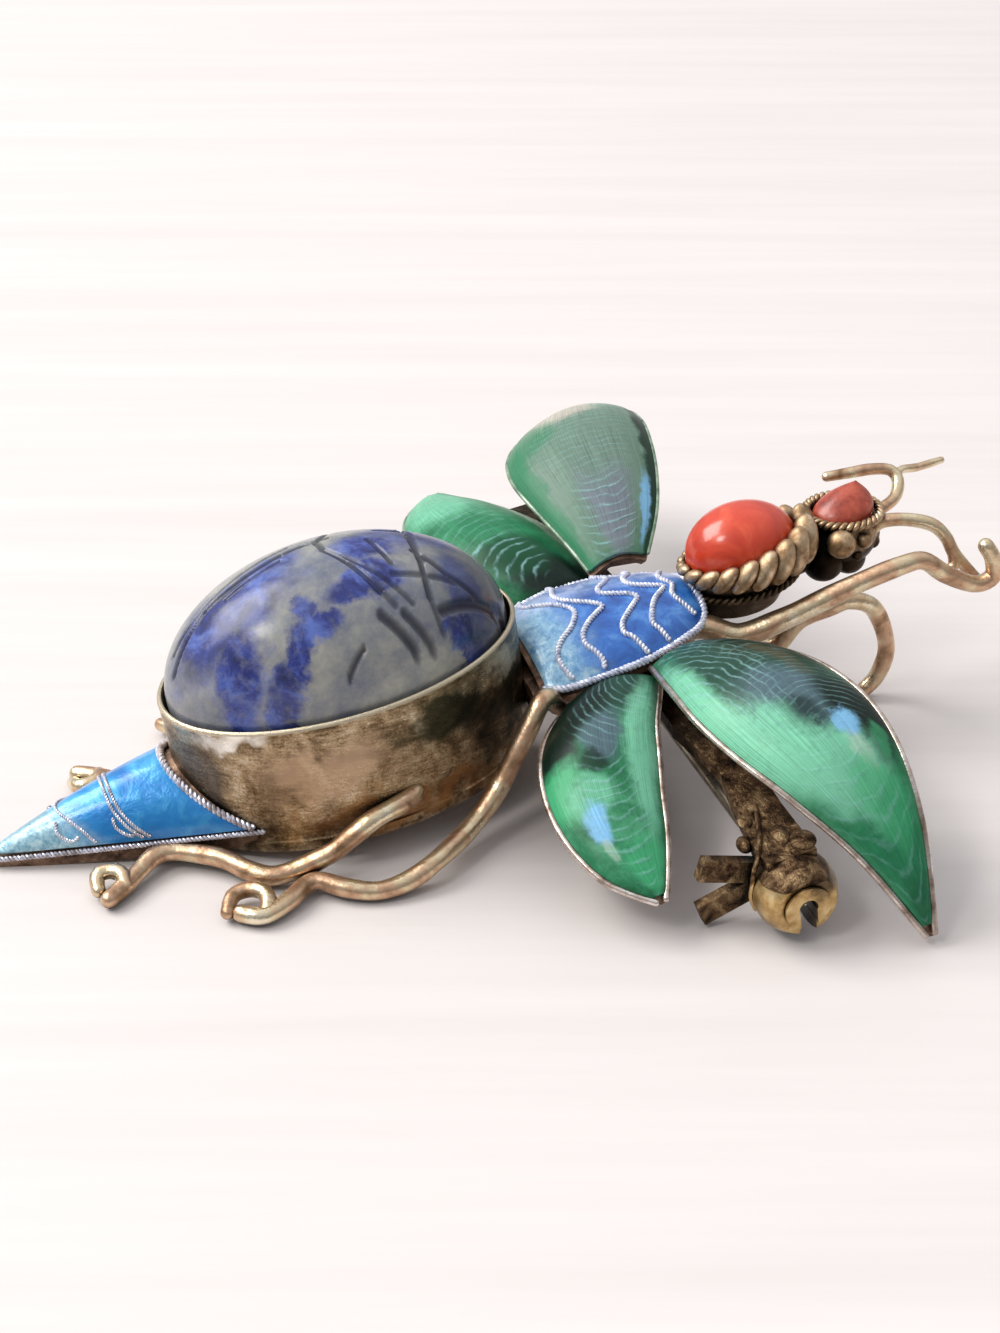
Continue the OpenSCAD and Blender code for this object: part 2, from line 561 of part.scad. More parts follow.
module head() {
    difference() {
        hull() {
            translate([head_x - 0.9, 0, head_z - 0.2]) sphere(0.72 * head_r, $fn = hull_sides);
            translate([head_x + 0.3, 0, head_z]) sphere(head_r, $fn = hull_sides);
            translate([head_x + 1.2, 0, head_z - 0.3]) sphere(0.62 * head_r, $fn = hull_sides);
            translate(head_coral_at) rotate([0, head_coral_tip, 0])
                linear_extrude(0.1) oval(head_coral_a + 0.2, head_coral_b + 0.2, 16);
        }
        translate(head_coral_at) rotate([0, head_coral_tip, 0])
            translate([0, 0, -head_coral_sunk - stone_gap])
                linear_extrude(2) oval(head_coral_a + stone_gap, head_coral_b + stone_gap, 20);
    }
    translate(head_coral_at) rotate([0, head_coral_tip, 0])
        rope(head_coral_a + stone_gap, head_coral_b + stone_gap, head_rope_r, 8, 24, 0);
    for (side = [-1, 1]) {
        translate([head_x - 0.9, side * (head_r + 0.3), head_z + 0.75]) sphere(eye_r, $fn = hull_sides);
        translate([head_x + 1.5, side * 0.8, head_z - 0.5]) sphere(0.55 * eye_r, $fn = 8);
    }
}

// Lug that carries the root of a wing: from its place in the block, as long as given there and at the wing
module wing_lug(from, inner_len, root, outer_len) {
    hull() {
        translate(from) cube([inner_len, 1, 0.5], center = true);
        translate(root + [0, 0.5, -0.1]) cube([outer_len, 0.6, 0.3], center = true);
    }
}

module wings(forewing, fore_at, hindwing, hind_at) {
    tray(forewing, 0, forewing_inside, 1, sheet_t, 6, 4);
    tray(hindwing, 0, hindwing_inside, 1, sheet_t, 6, 4);
    wing_lug([forewing_root[0] - 1.4, core_w - 0.9, core_z + 0.7], 4.2, fore_at, 3.1);
    wing_lug([hindwing_root[0], core_w - 0.9, core_z + 0.6], 4.6, hind_at, 4.2);
}

module route(at, length, shares, r, sides = 6) {
    wire([for (p = smooth(shares, 2)) at + length * p], r, sides);
}

module solder(at) {
    translate(at) sphere(1.3 * leg_r, $fn = 8);
}

module side_legs() {
    route(middle_leg_at, middle_leg, MIDDLE_LEG, leg_r);
    route(middle_leg_at, middle_leg, MIDDLE_TOE, 0.8 * leg_r, 5);
    route(rear_leg_at, rear_leg, REAR_LEG, leg_r);
    route(rear_leg_at, rear_leg, REAR_TOE, 0.8 * leg_r, 5);
    solder(rear_leg_at + [0.3, 0.25, 0]);
    solder(middle_leg_at + [0.2, 0.35, -0.8]);
}

module legs() {
    side_legs();
    translate([left_forward, 0, 0]) mirror([0, 1, 0]) side_legs();
    route(front_leg_at, front_leg, FRONT_LEG, leg_r);
    route(bent_leg_at, front_leg, BENT_LEG, leg_r);
}

module feelers() {
    left_at = [feeler_at[0], -feeler_at[1], feeler_at[2]];
    route(feeler_at, feeler, RIGHT_FEELER, feeler_r, 5);
    route(feeler_at, feeler, RIGHT_FEELER_FORK, 0.85 * feeler_r, 5);
    route(left_at, feeler, LEFT_FEELER, feeler_r, 5);
    route(left_at, feeler, LEFT_FEELER_FORK, 0.85 * feeler_r, 5);
}

module soldered_frame() {
    color(gilt) at_rest() {
        bezel_cup();
        tail_tray();
        thorax_tray();
        coral_collar();
        head();
        wings(left_forewing, left_forewing_root, left_hindwing, left_hindwing_root);
        mirror([0, 1, 0])
            wings(mirrored_right_forewing, forewing_root, mirrored_right_hindwing, hindwing_root);
        legs();
        feelers();
    }
}

// Depth of the carving at a point of the body stone, in shares of its half length and half width
function line_gap(p, a, b) = let (d = b - a, t = max(0, min(1, (p - a) * d / (d * d))))
    norm(p - a - t * d);
function carved(p) = max([for (c = CARVED_LINES) max(0, 1 - pow(line_gap(p, c[0], c[1]) / c[2], 2))]);

module body_stone() {
    a = bezel_a - bezel_wall - stone_gap;
    b = bezel_b - bezel_wall - stone_gap;
    steps = 44;
    rows = 13;
    color([0.35, 0.4, 0.62]) at_rest() translate([0, 0, bezel_h])
        skin(concat(
            [for (z = [-stone_depth, 0])
                [for (i = [0 : steps - 1]) [a * cos(turn * i / steps), b * sin(turn * i / steps), z]]],
            [for (k = [1 : rows])
                let (e = 88 * k / rows)
                [for (i = [0 : steps - 1])
                    let (x = cos(e) * cos(turn * i / steps), y = cos(e) * sin(turn * i / steps))
                    [a * x, b * y, dome_h * sin(e) - carving_depth * carved([x, y])]]]));
}

module shoulder_coral() {
    color([0.85, 0.25, 0.12]) at_rest() translate([coral_x, 0, coral_z])
        cabochon(coral_a, coral_b, coral_dome, coral_sunk, 24, 6);
}

module head_coral() {
    color([0.85, 0.25, 0.12]) at_rest() translate(head_coral_at) rotate([0, head_coral_tip, 0])
        cabochon(head_coral_a, head_coral_b, head_dome, head_coral_sunk, 20, 4);
}

module tail_enamel() {
    color([0.2, 0.55, 0.85]) at_rest() enamel(tail_at, tail_inside, 8);
}

module thorax_enamel() {
    color([0.2, 0.35, 0.8]) at_rest() enamel(thorax_at, thorax_inside, 8);
}

module left_forewing_enamel() {
    color([0.15, 0.6, 0.4]) at_rest() enamel(left_forewing, forewing_inside, 6);
}

module left_hindwing_enamel() {
    color([0.15, 0.6, 0.4]) at_rest() enamel(left_hindwing, hindwing_inside, 6);
}

module right_forewing_enamel() {
    color([0.15, 0.6, 0.4]) at_rest() mirror([0, 1, 0])
        enamel(mirrored_right_forewing, forewing_inside, 6);
}

module right_hindwing_enamel() {
    color([0.15, 0.6, 0.4]) at_rest() mirror([0, 1, 0])
        enamel(mirrored_right_hindwing, hindwing_inside, 6);
}

// Cylinder along X or along Y, from one place to another
module along_x(r, from, to) {
    translate([from, 0, 0]) rotate([0, 90, 0]) cylinder(r = r, h = to - from);
}
module along_y(r, from, to) {
    translate([0, from, 0]) rotate([-90, 0, 0]) cylinder(r = r, h = to - from);
}

// Bar, hinge lugs and the catch's ball, one piece soldered under the body
module pin_bar() {
    end_top = pin_z + housing_bore + 0.2 + bar_t;
    crank = [[3.6, bar_top], [0.42 * hinge_y, bar_top - 0.2], [0.65 * hinge_y, (bar_top + end_top) / 2 - 0.1],
        [0.86 * hinge_y, end_top]];
    top = concat([[-catch_y, end_top]], [for (i = [3 : -1 : 0]) [-crank[i][0], crank[i][1]]],
        crank, [[hinge_y + lug_r, end_top]]);
    low = [for (i = [len(top) - 1 : -1 : 0]) top[i] - [0, bar_t]];
    lug_low = pin_z;
    color(gilt) at_rest() {
        difference() {
            union() {
                intersection() {
                    translate([pin_x - bar_w / 2, 0, 0]) rotate([90, 0, 90])
                        linear_extrude(bar_w) polygon(concat(top, low));
                    // plan of the bar: the right arm has a waist and broadens to a heel over the catch
                    translate([pin_x, 0, low[0][1] - past]) linear_extrude(bar_top - low[0][1] + 2 * past)
                        polygon([[-heel_back, -catch_y - past], [heel_front, -catch_y - past],
                            [bar_w / 2, -crank[3][0]], [bar_w / 2, hinge_y + lug_r + past],
                            [-bar_w / 2, hinge_y + lug_r + past], [-bar_w / 2, -crank[1][0]],
                            [-arm_waist, -crank[2][0]]]);
                }
                for (side = [-1, 1])
                    translate([pin_x + side * (lug_inner + lug_t / 2) - lug_t / 2, hinge_y, 0]) {
                        translate([0, -lug_r, lug_low]) cube([lug_t, 2 * lug_r, end_top - lug_low]);
                        translate([0, 0, lug_low]) along_x(lug_r, 0, lug_t);
                    }
                intersection() {
                    translate([pin_x, -catch_y, pin_z]) sphere(ball_r);
                    translate([pin_x, 0, pin_z])
                        along_y(ball_r + past, -catch_y - ball_half, -catch_y + ball_half);
                }
            }
            translate([pin_x, hinge_y, pin_z])
                along_x(rivet_r + rivet_gap, -bar_w - lug_t, bar_w + lug_t);
            translate([pin_x, 0, pin_z])
                along_y(housing_bore, -catch_y - ball_half - past, -catch_y + ball_half + past);
            translate([pin_x - slot_w / 2, -catch_y - ball_half - past, pin_z - ball_r - past])
                cube([slot_w, 2 * (ball_half + past), ball_r + past]);
        }
    }
}

module hinge_rivet() {
    reach = lug_inner + lug_t + rivet_gap;
    head_t = 0.3;
    color([0.6, 0.5, 0.36]) at_rest() translate([pin_x, hinge_y, pin_z]) {
        along_x(rivet_r, -reach, reach);
        along_x(rivet_r + 0.3, -reach - head_t, -reach);
        along_x(rivet_r + 0.3, reach, reach + head_t);
    }
}

module pin_stem() {
    point_start = catch_y - 0.6;
    point_end = catch_y + ball_half - 0.15;
    color([0.7, 0.66, 0.58]) at_rest() translate([pin_x, 0, pin_z]) {
        difference() {
            union() {
                translate([0, hinge_y, 0]) along_x(knuckle_r, -knuckle_w / 2, knuckle_w / 2);
                along_y(knuckle_w / 2 - neck_step, pin_half, hinge_y);
            }
            translate([0, hinge_y, 0]) along_x(rivet_r + rivet_gap, -knuckle_w, knuckle_w);
        }
        along_y(pin_r, -pin_half, pin_half);
        translate([0, -pin_half, 0]) rotate([90, 0, 0]) cylinder(r1 = pin_r, r2 = tip_r, h = taper);
        along_y(tip_r, -point_start, -pin_half - taper);
        translate([0, -point_start, 0]) rotate([90, 0, 0])
            cylinder(r1 = tip_r, r2 = 0.3 * tip_r, h = point_end - point_start);
    }
}

// Turning barrel of the catch and its two finger tabs, slot down as it lies open
module catch_lever() {
    hub_r = housing_bore + 0.1;
    inner = -catch_y + ball_half + barrel_gap;
    outer = -catch_y - ball_half - barrel_gap;
    color([0.62, 0.5, 0.34]) at_rest() translate([pin_x, 0, pin_z])
        difference() {
            union() {
                along_y(barrel_r, outer, inner);
                along_y(hub_r, inner, inner + tab_t);
                along_y(hub_r, outer - 0.15, outer);
                for (angle = [-tab_down, tab_up])
                    translate([0, inner, 0]) rotate([0, angle, 0])
                        translate([-tab_reach, 0, -tab_w / 2]) cube([tab_reach, tab_t, tab_w]);
            }
            along_y(throat_r, outer - past, inner + tab_t + past);
            translate([-slot_w / 2, outer - past, -ball_r])
                cube([slot_w, inner - outer + tab_t + 2 * past, ball_r]);
        }
}

soldered_frame();
body_stone();
shoulder_coral();
head_coral();
tail_enamel();
thorax_enamel();
right_forewing_enamel();
right_hindwing_enamel();
left_forewing_enamel();
left_hindwing_enamel();
pin_bar();
hinge_rivet();
pin_stem();
catch_lever();
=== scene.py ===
import json
import math

import bpy
import numpy as np
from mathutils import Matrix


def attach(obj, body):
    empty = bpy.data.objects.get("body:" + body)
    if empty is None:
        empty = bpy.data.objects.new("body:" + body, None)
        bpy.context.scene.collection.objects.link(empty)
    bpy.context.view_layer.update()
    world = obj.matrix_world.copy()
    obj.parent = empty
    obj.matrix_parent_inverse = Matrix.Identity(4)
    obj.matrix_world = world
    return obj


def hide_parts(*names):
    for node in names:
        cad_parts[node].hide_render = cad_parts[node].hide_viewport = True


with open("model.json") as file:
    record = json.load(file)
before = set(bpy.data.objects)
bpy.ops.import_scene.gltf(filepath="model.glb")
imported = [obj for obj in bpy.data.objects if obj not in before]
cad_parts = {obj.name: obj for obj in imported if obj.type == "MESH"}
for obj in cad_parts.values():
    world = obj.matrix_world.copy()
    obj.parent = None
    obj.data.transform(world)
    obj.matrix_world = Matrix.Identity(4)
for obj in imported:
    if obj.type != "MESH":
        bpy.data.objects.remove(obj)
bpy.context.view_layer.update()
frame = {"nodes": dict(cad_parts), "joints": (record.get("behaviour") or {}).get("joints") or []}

scene = bpy.context.scene

# How the brooch lies
# It rests nose up on its rear feet, the bent leg and the tail. Every piece is drawn level, in
# millimetres, with the middle of the base plate's underside as origin, +X to the head and -Y to
# the insect's right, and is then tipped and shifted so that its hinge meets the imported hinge.
hinge_level = (16.3, 17.0, -1.3)
hinge = next(j for j in frame["joints"] if j["name"] == "pin_swing")
pitch = math.atan2(hinge["axis"][2], hinge["axis"][0])


def tipped(points):
    """Level millimetres turned nose up, in metres."""
    x, y, z = np.moveaxis(np.asarray(points, float), -1, 0)
    c, s = math.cos(pitch), math.sin(pitch)
    return np.stack([x * c - z * s, y, x * s + z * c], -1) / 1000


shift = np.array(hinge["pos_m"]) - tipped(hinge_level)


def laid(points):
    """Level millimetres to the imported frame's metres."""
    return tipped(points) + shift


# The table
# A pale, faintly pink board with a fine lengthwise grain, under everything. It is the stage and
# not part of the brooch. The first finish is made here, so the way finishes are built is here too.
def paint(red, green, blue):
    """A colour as the eye names it, 0 to 255, for a shader."""
    lin = [c / 255 / 12.92 if c <= 10 else ((c / 255 + 0.055) / 1.055) ** 2.4 for c in (red, green, blue)]
    return (*lin, 1.0)


class Finish:
    """A surface built from nodes. What is the same all over is set on the shader itself."""

    def __init__(self, name, **values):
        self.material = bpy.data.materials.new(name)
        self.material.use_nodes = True
        self.tree = self.material.node_tree
        self.shader = self.tree.nodes["Principled BSDF"]
        for socket, value in values.items():
            self.shader.inputs[socket.replace("_", " ")].default_value = value

    def add(self, kind, inputs, out=0, **settings):
        node = self.tree.nodes.new("ShaderNode" + kind)
        for setting, value in settings.items():
            setattr(node, setting, value)
        for socket, value in inputs.items():
            if isinstance(value, bpy.types.NodeSocket):
                self.tree.links.new(value, node.inputs[socket])
            else:
                node.inputs[socket].default_value = value
        return node.outputs[out]

    def feed(self, socket, source):
        self.tree.links.new(source, self.shader.inputs[socket])

    def place(self, scale=(1, 1, 1)):
        """Where a point is, in millimetres."""
        at = self.add("TexCoord", {}, out=3)
        return self.add("Mapping", {0: at, 3: [1000 * k for k in scale]}, vector_type="POINT")

    def spot(self):
        """Where a point is on its own piece: along, across, and a third value."""
        return self.add("Attribute", {}, out=1, attribute_name="spot")

    def parts(self, vector):
        """The three values of a vector, each by itself."""
        node = self.tree.nodes.new("ShaderNodeSeparateXYZ")
        self.tree.links.new(vector, node.inputs[0])
        return node.outputs[0], node.outputs[1], node.outputs[2]

    def cloud(self, at, size, detail=4.0, rough=0.5, warp=0.0):
        """Soft noise with blotches about size millimetres across."""
        return self.add("TexNoise", {"Vector": at, "Scale": 1 / size, "Detail": detail, "Roughness": rough,
                                     "Distortion": warp})

    def calc(self, operation, a, b=0.0, c=0.0, clamp=False):
        return self.add("Math", {0: a, 1: b, 2: c}, operation=operation, use_clamp=clamp)

    def step(self, value, low, high, to_low=0.0, to_high=1.0):
        """A smooth step of a value from low to high."""
        return self.add("MapRange", {"Value": value, "From Min": low, "From Max": high, "To Min": to_low,
                                     "To Max": to_high}, interpolation_type="SMOOTHSTEP")

    def blend(self, a, b, share):
        """From colour a to colour b. A colour is a source, or red, green and blue."""
        a, b = (paint(*colour) if isinstance(colour, tuple) else colour for colour in (a, b))
        return self.add("Mix", {0: share, 6: a, 7: b}, out=2, data_type="RGBA", blend_type="MIX")

    def ramp(self, value, *stops):
        """Colours along a value, each after its place."""
        node = self.tree.nodes.new("ShaderNodeValToRGB")
        bar = node.color_ramp.elements
        while len(bar) < len(stops):
            bar.new(0.5)
        for mark, (place, colour) in zip(bar, stops):
            mark.position = place
            mark.color = paint(*colour)
        self.tree.links.new(value, node.inputs[0])
        return node.outputs[0]

    def relief(self, height, depth, under=None):
        """Raises the surface by height times depth millimetres, as shading."""
        inputs = {"Height": height, "Distance": depth / 1000, "Strength": 1.0}
        if under is not None:
            inputs["Normal"] = under
        return self.add("Bump", inputs)

    def blot(self, at, x, y, wide, high, turn, soft):
        """1 inside an oval place on the piece and 0 outside it."""
        oval = {0: at, 1: (x, y, 0), 2: (0, 0, math.radians(turn)), 3: (wide, high, 1e6)}
        return self.step(self.length(self.add("Mapping", oval, vector_type="TEXTURE")), 1 + soft, 1 - soft)

    def length(self, vector):
        """How long a vector is."""
        return self.add("VectorMath", {0: vector}, out=1, operation="LENGTH")

    def patches(self, shade, at, rows, soft, seen=None):
        """Oval patches laid over a shade: colour, place, half length, half width, strength."""
        for colour, x, y, long, wide, strength in rows:
            share = self.calc("MULTIPLY", self.blot(at, x, y, long, wide, 0, soft), strength)
            if seen is not None:
                share = self.calc("MULTIPLY", share, seen)
            shade = self.blend(shade, colour, share)
        return shade

    def drifted(self, where, at, scale, detail, rough, reach):
        """A place on the piece moved about by noise, which gives patches ragged edges."""
        noise = {"Vector": at, "Scale": scale, "Detail": detail, "Roughness": rough}
        stray = self.add("VectorMath", {0: self.add("TexNoise", noise, out=1), 1: (0.5, 0.5, 0.5)},
                         operation="SUBTRACT")
        return self.add("VectorMath", {0: stray, 1: reach, 2: where}, operation="MULTIPLY_ADD")

    def distance(self, at, point):
        """How far a place is from a point, in the same measure."""
        return self.add("VectorMath", {0: at, 1: point}, out=1, operation="DISTANCE")

    def crevice(self, reach, low, high, samples=6):
        """0 where something lies within reach millimetres, 1 in the open."""
        light = self.add("AmbientOcclusion", {"Distance": reach / 1000}, out=1, samples=samples)
        return self.step(light, low, high)

    def worn(self, pattern, stops, dark=None, narrow=(), rough=None, grain=None):
        """Shades along a pattern, dark in narrow places, rougher with the pattern, and with a fine grain."""
        shade = self.ramp(pattern, *stops)
        if dark:
            shade = self.blend(dark, shade, self.crevice(*narrow))
        self.feed("Base Color", shade)
        if rough:
            self.feed("Roughness", self.step(pattern, 0.3, 0.7, *rough))
        if grain:
            self.feed("Normal", self.relief(self.cloud(self.place(), *grain[:-1]), grain[-1]))


board = Finish("pale_board", Roughness=0.62)
level = board.add("Mapping", {0: board.place(), 2: (0, 0, math.radians(-19.9)), 3: (60, 3.0, 1)},
                  vector_type="TEXTURE")
grain = board.cloud(level, 1.0, 5.0, 0.6)
board.feed("Base Color", board.ramp(grain, (0.3, (214, 206, 203)), (0.7, (221, 214, 211))))

half_board = 1.5
corners = [(x * half_board, y * half_board, 0) for x, y in ((-1, -1), (1, -1), (1, 1), (-1, 1))]
table_mesh = bpy.data.meshes.new("table")
table_mesh.from_pydata(corners, [], [(0, 1, 2, 3)])
table_mesh.materials.append(board.material)
table = bpy.data.objects.new("table", table_mesh)
scene.collection.objects.link(table)

# Light and camera
# Soft daylight from above and behind the brooch's left, a weak fill from the front, and a camera
# over the insect's right rear, looking down a third of a right angle.
scene.view_settings.view_transform = "Standard"
world = bpy.data.worlds.new("soft_room")
world.use_nodes = True
room = world.node_tree
ceiling = room.nodes["Background"]
ceiling.inputs[0].default_value = (0.94, 0.96, 1.0, 1.0)


def room_node(kind, sources, **values):
    node = room.nodes.new("ShaderNode" + kind)
    for socket, source in sources.items():
        room.links.new(source, node.inputs[socket])
    for socket, value in values.items():
        node.inputs[socket.replace("_", " ")].default_value = value
    return node


facing = room_node("SeparateXYZ", {0: room_node("TexCoord", {}).outputs["Generated"]})
upper = room_node("MapRange", {0: facing.outputs[2]}, From_Min=0.0, From_Max=0.85, To_Min=0.34, To_Max=1.08)
behind = room_node("MapRange", {0: facing.outputs[1]}, From_Min=-0.9, From_Max=0.3, To_Min=0.5, To_Max=1.0)
glow = room_node("Math", {0: upper.outputs[0], 1: behind.outputs[0]})
glow.operation = "MULTIPLY"
room.links.new(glow.outputs[0], ceiling.inputs[1])
scene.world = world


def lamp(name, at, aim, size, power, tint):
    light = bpy.data.lights.new(name, "AREA")
    light.shape = "RECTANGLE"
    light.size, light.size_y = size
    light.energy = power
    light.color = tint
    holder = bpy.data.objects.new(name, light)
    scene.collection.objects.link(holder)
    back = np.subtract(at, aim)
    holder.location = at
    holder.rotation_euler = (math.atan2(math.hypot(back[0], back[1]), back[2]), 0,
                             math.atan2(back[1], back[0]) + math.pi / 2)


lamp("window", (-0.34, 0.22, 0.44), (0, 0, 0.005), (0.40, 0.32), 3.2, (1.0, 0.985, 0.96))
lamp("front_fill", (-0.33, -0.13, 0.45), (0, 0, 0.005), (0.12, 0.10), 0.6, (1.0, 0.98, 0.95))

view_azimuth = -19.92
view_elevation = 32.98
camera_data = bpy.data.cameras.new("camera")
camera_data.sensor_fit = "HORIZONTAL"
camera_data.sensor_width = 36
camera_data.lens = 88.16
camera_data.clip_start = 0.005
camera = bpy.data.objects.new("camera", camera_data)
camera.location = (-0.03651, -0.10222, 0.07612)
camera.rotation_euler = (math.radians(90 - view_elevation), 0, math.radians(view_azimuth))
scene.collection.objects.link(camera)
scene.camera = camera

# Bezel
# A tall oval strip of gilt silver, soldered upright on a base plate that stands out as a thin
# lip. The gilding is worn to olive brown and grey, with a painted dark reflection at the shoulder end.
bezel_a = 9.45
bezel_b = 6.0
bezel_h = 7.4
bezel_wall = 0.4
turn = 2 * math.pi


def skin(rings, loop=False, spots=None):
    """Closed solid through rings of equally many points, with flat ends or joined end to end."""
    rings = np.asarray(rings, float)
    m, n, _ = rings.shape
    if spots is None:
        spots = np.zeros_like(rings)
    rows = m if loop else m - 1
    i, j = np.meshgrid(np.arange(rows), np.arange(n), indexing="ij")
    a, b = i * n, (i + 1) % m * n
    k = (j + 1) % n
    quads = np.stack([a + j, a + k, b + k, b + j], -1).reshape(-1, 4)
    points = rings.reshape(-1, 3)
    p = points[quads] - points.mean(0)
    volume = (p[:, 0] * np.cross(p[:, 1], p[:, 2])).sum() + (p[:, 0] * np.cross(p[:, 2], p[:, 3])).sum()
    faces = quads.tolist()
    if not loop:
        faces += [list(range(n))[::-1], list(range((m - 1) * n, m * n))]
    if volume < 0:
        faces = [face[::-1] for face in faces]
    return points, faces, np.asarray(spots, float).reshape(-1, 3)


def piece(name, solids, finish, nodes=("soldered_frame",), body="brooch", sharp=38):
    """One piece from closed solids drawn level, laid down, finished and fixed to its body."""
    start, points, faces, spots = 0, [], [], []
    for some_points, some_faces, some_spots in solids:
        faces += [[start + v for v in face] for face in some_faces]
        points.append(some_points)
        spots.append(some_spots)
        start += len(some_points)
    mesh = bpy.data.meshes.new(name)
    mesh.from_pydata(laid(np.concatenate(points)).tolist(), [], faces)
    mesh.attributes.new("spot", "FLOAT_VECTOR", "POINT").data.foreach_set(
        "vector", np.concatenate(spots).astype(np.float32).ravel())
    mesh.polygons.foreach_set("use_smooth", [True] * len(mesh.polygons))
    mesh.set_sharp_from_angle(angle=math.radians(sharp))
    mesh.materials.append(finish.material)
    made = bpy.data.objects.new(name, mesh)
    scene.collection.objects.link(made)
    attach(made, body)
    if nodes:
        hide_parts(*nodes)


def ring(a, b, z, steps=168):
    t = np.linspace(0, turn, steps, endpoint=False)
    return np.stack([a * np.cos(t), b * np.sin(t), np.full(steps, z)], -1)


gilt = Finish("worn_gilt", Metallic=0.9)
at = gilt.place()
fine = gilt.cloud(at, 0.13, 4.0, 0.75)
broad = gilt.cloud(at, 2.4, 5.0, 0.66, 0.8)
brushed = gilt.cloud(gilt.place((0.4, 0.4, 2.2)), 0.35, 4.0, 0.7)
tone = gilt.calc("MULTIPLY_ADD", broad, 0.62, gilt.calc("MULTIPLY", fine, 0.30))
tone = gilt.calc("MULTIPLY_ADD", brushed, 0.28, tone)
shade = gilt.ramp(tone, (0.44, (60, 46, 30)), (0.55, (124, 102, 74)), (0.64, (178, 156, 124)),
                  (0.76, (222, 210, 190)))
along, across, high = gilt.parts(gilt.spot())
# Painted dark reflection over the shoulder end of the wall, ragged with noise
shoulder_reflection = gilt.calc("MULTIPLY", gilt.step(along, 0.35, 0.85),
                          gilt.step(gilt.cloud(at, 1.7, 4.0, 0.66), 0.34, 0.58))
shade = gilt.blend(shade, (30, 30, 16), gilt.calc("MULTIPLY", shoulder_reflection, 0.9))
foot_dark = gilt.calc("MULTIPLY", gilt.step(high, 0.55, 0.02, 0.0, 0.85),
                      gilt.step(gilt.cloud(at, 1.3, 4.0, 0.66), 0.40, 0.62))
shade = gilt.blend(shade, (44, 34, 22), foot_dark)
wall_place = gilt.drifted(gilt.add("CombineXYZ", {0: along, 1: high}), at, 0.5, 4.0, 0.5, (0.34, 0.8, 0.0))
near_side = gilt.step(across, 0.0, -0.2)

# Patches on the near wall, partly tarnish and partly painted reflections and highlights:
# colour, along, height, half length, half height, strength
WALL_TARNISH_AND_REFLECTIONS = [
    ((196, 168, 140), -0.30, 0.62, 0.34, 0.22, 0.7),
    ((70, 66, 66), -0.90, 0.55, 0.10, 0.34, 0.7),
    ((38, 40, 22), 0.40, 0.74, 0.26, 0.17, 0.9),
    ((22, 22, 14), 0.58, 0.66, 0.14, 0.22, 0.85),
    ((150, 108, 66), 0.10, 0.14, 0.55, 0.13, 0.7),
    ((206, 186, 156), 0.80, 0.86, 0.14, 0.10, 0.7)]
shade = gilt.patches(shade, wall_place, WALL_TARNISH_AND_REFLECTIONS, 0.5, near_side)
# Painted highlight under the rim near the tail end of the near wall
rim_highlight = gilt.blot(wall_place, -0.70, 0.96, 0.12, 0.10, 0, 0.6)
shade = gilt.blend(shade, (255, 250, 240), gilt.calc("MULTIPLY", rim_highlight, near_side))
shade = gilt.blend(shade, (206, 192, 166), gilt.step(high, 0.972, 0.992))
gilt.feed("Base Color", gilt.blend((22, 16, 12), shade, gilt.crevice(0.5, 0.12, 0.6)))
gilt.feed("Roughness", gilt.step(tone, 0.45, 0.8, 0.40, 0.20))
gilt.feed("Normal", gilt.relief(brushed, 0.025, gilt.relief(fine, 0.03)))

# Section of the wall and the lip below it: how far out, how high
bezel_profile = [(-0.4, 5.2), (-0.38, 6.9), (-0.27, 7.2), (-0.25, 7.34), (-0.2, 7.41), (-0.12, 7.43),
                 (-0.03, 7.38), (0.03, 7.28), (0.02, 7.12), (-0.02, 6.96), (0.0, 6.6), (0.0, 4.8),
                 (0.02, 2.9), (0.0, 1.3), (0.02, 0.76), (0.08, 0.64), (0.2, 0.6), (0.24, 0.5), (0.24, 0.12),
                 (0.2, 0.02), (0.1, 0.0), (-1.6, 0.0), (-5.0, 0.0)]
rings = np.array([ring(bezel_a + out, bezel_b + out, z) for out, z in bezel_profile])
piece("bezel", [skin(rings, spots=rings / (bezel_a, bezel_b, bezel_h))], gilt)

# Body stone
# One high oval cabochon of grey stone clouded with violet blue, carved with a beetle's wing
# cases and collar and polished over the cuts, held by the bezel's rim.
rim_gap = 0.03
stone_a = bezel_a - bezel_wall - rim_gap
stone_b = bezel_b - bezel_wall - rim_gap
dome_h = 6.1
carving_depth = 0.17

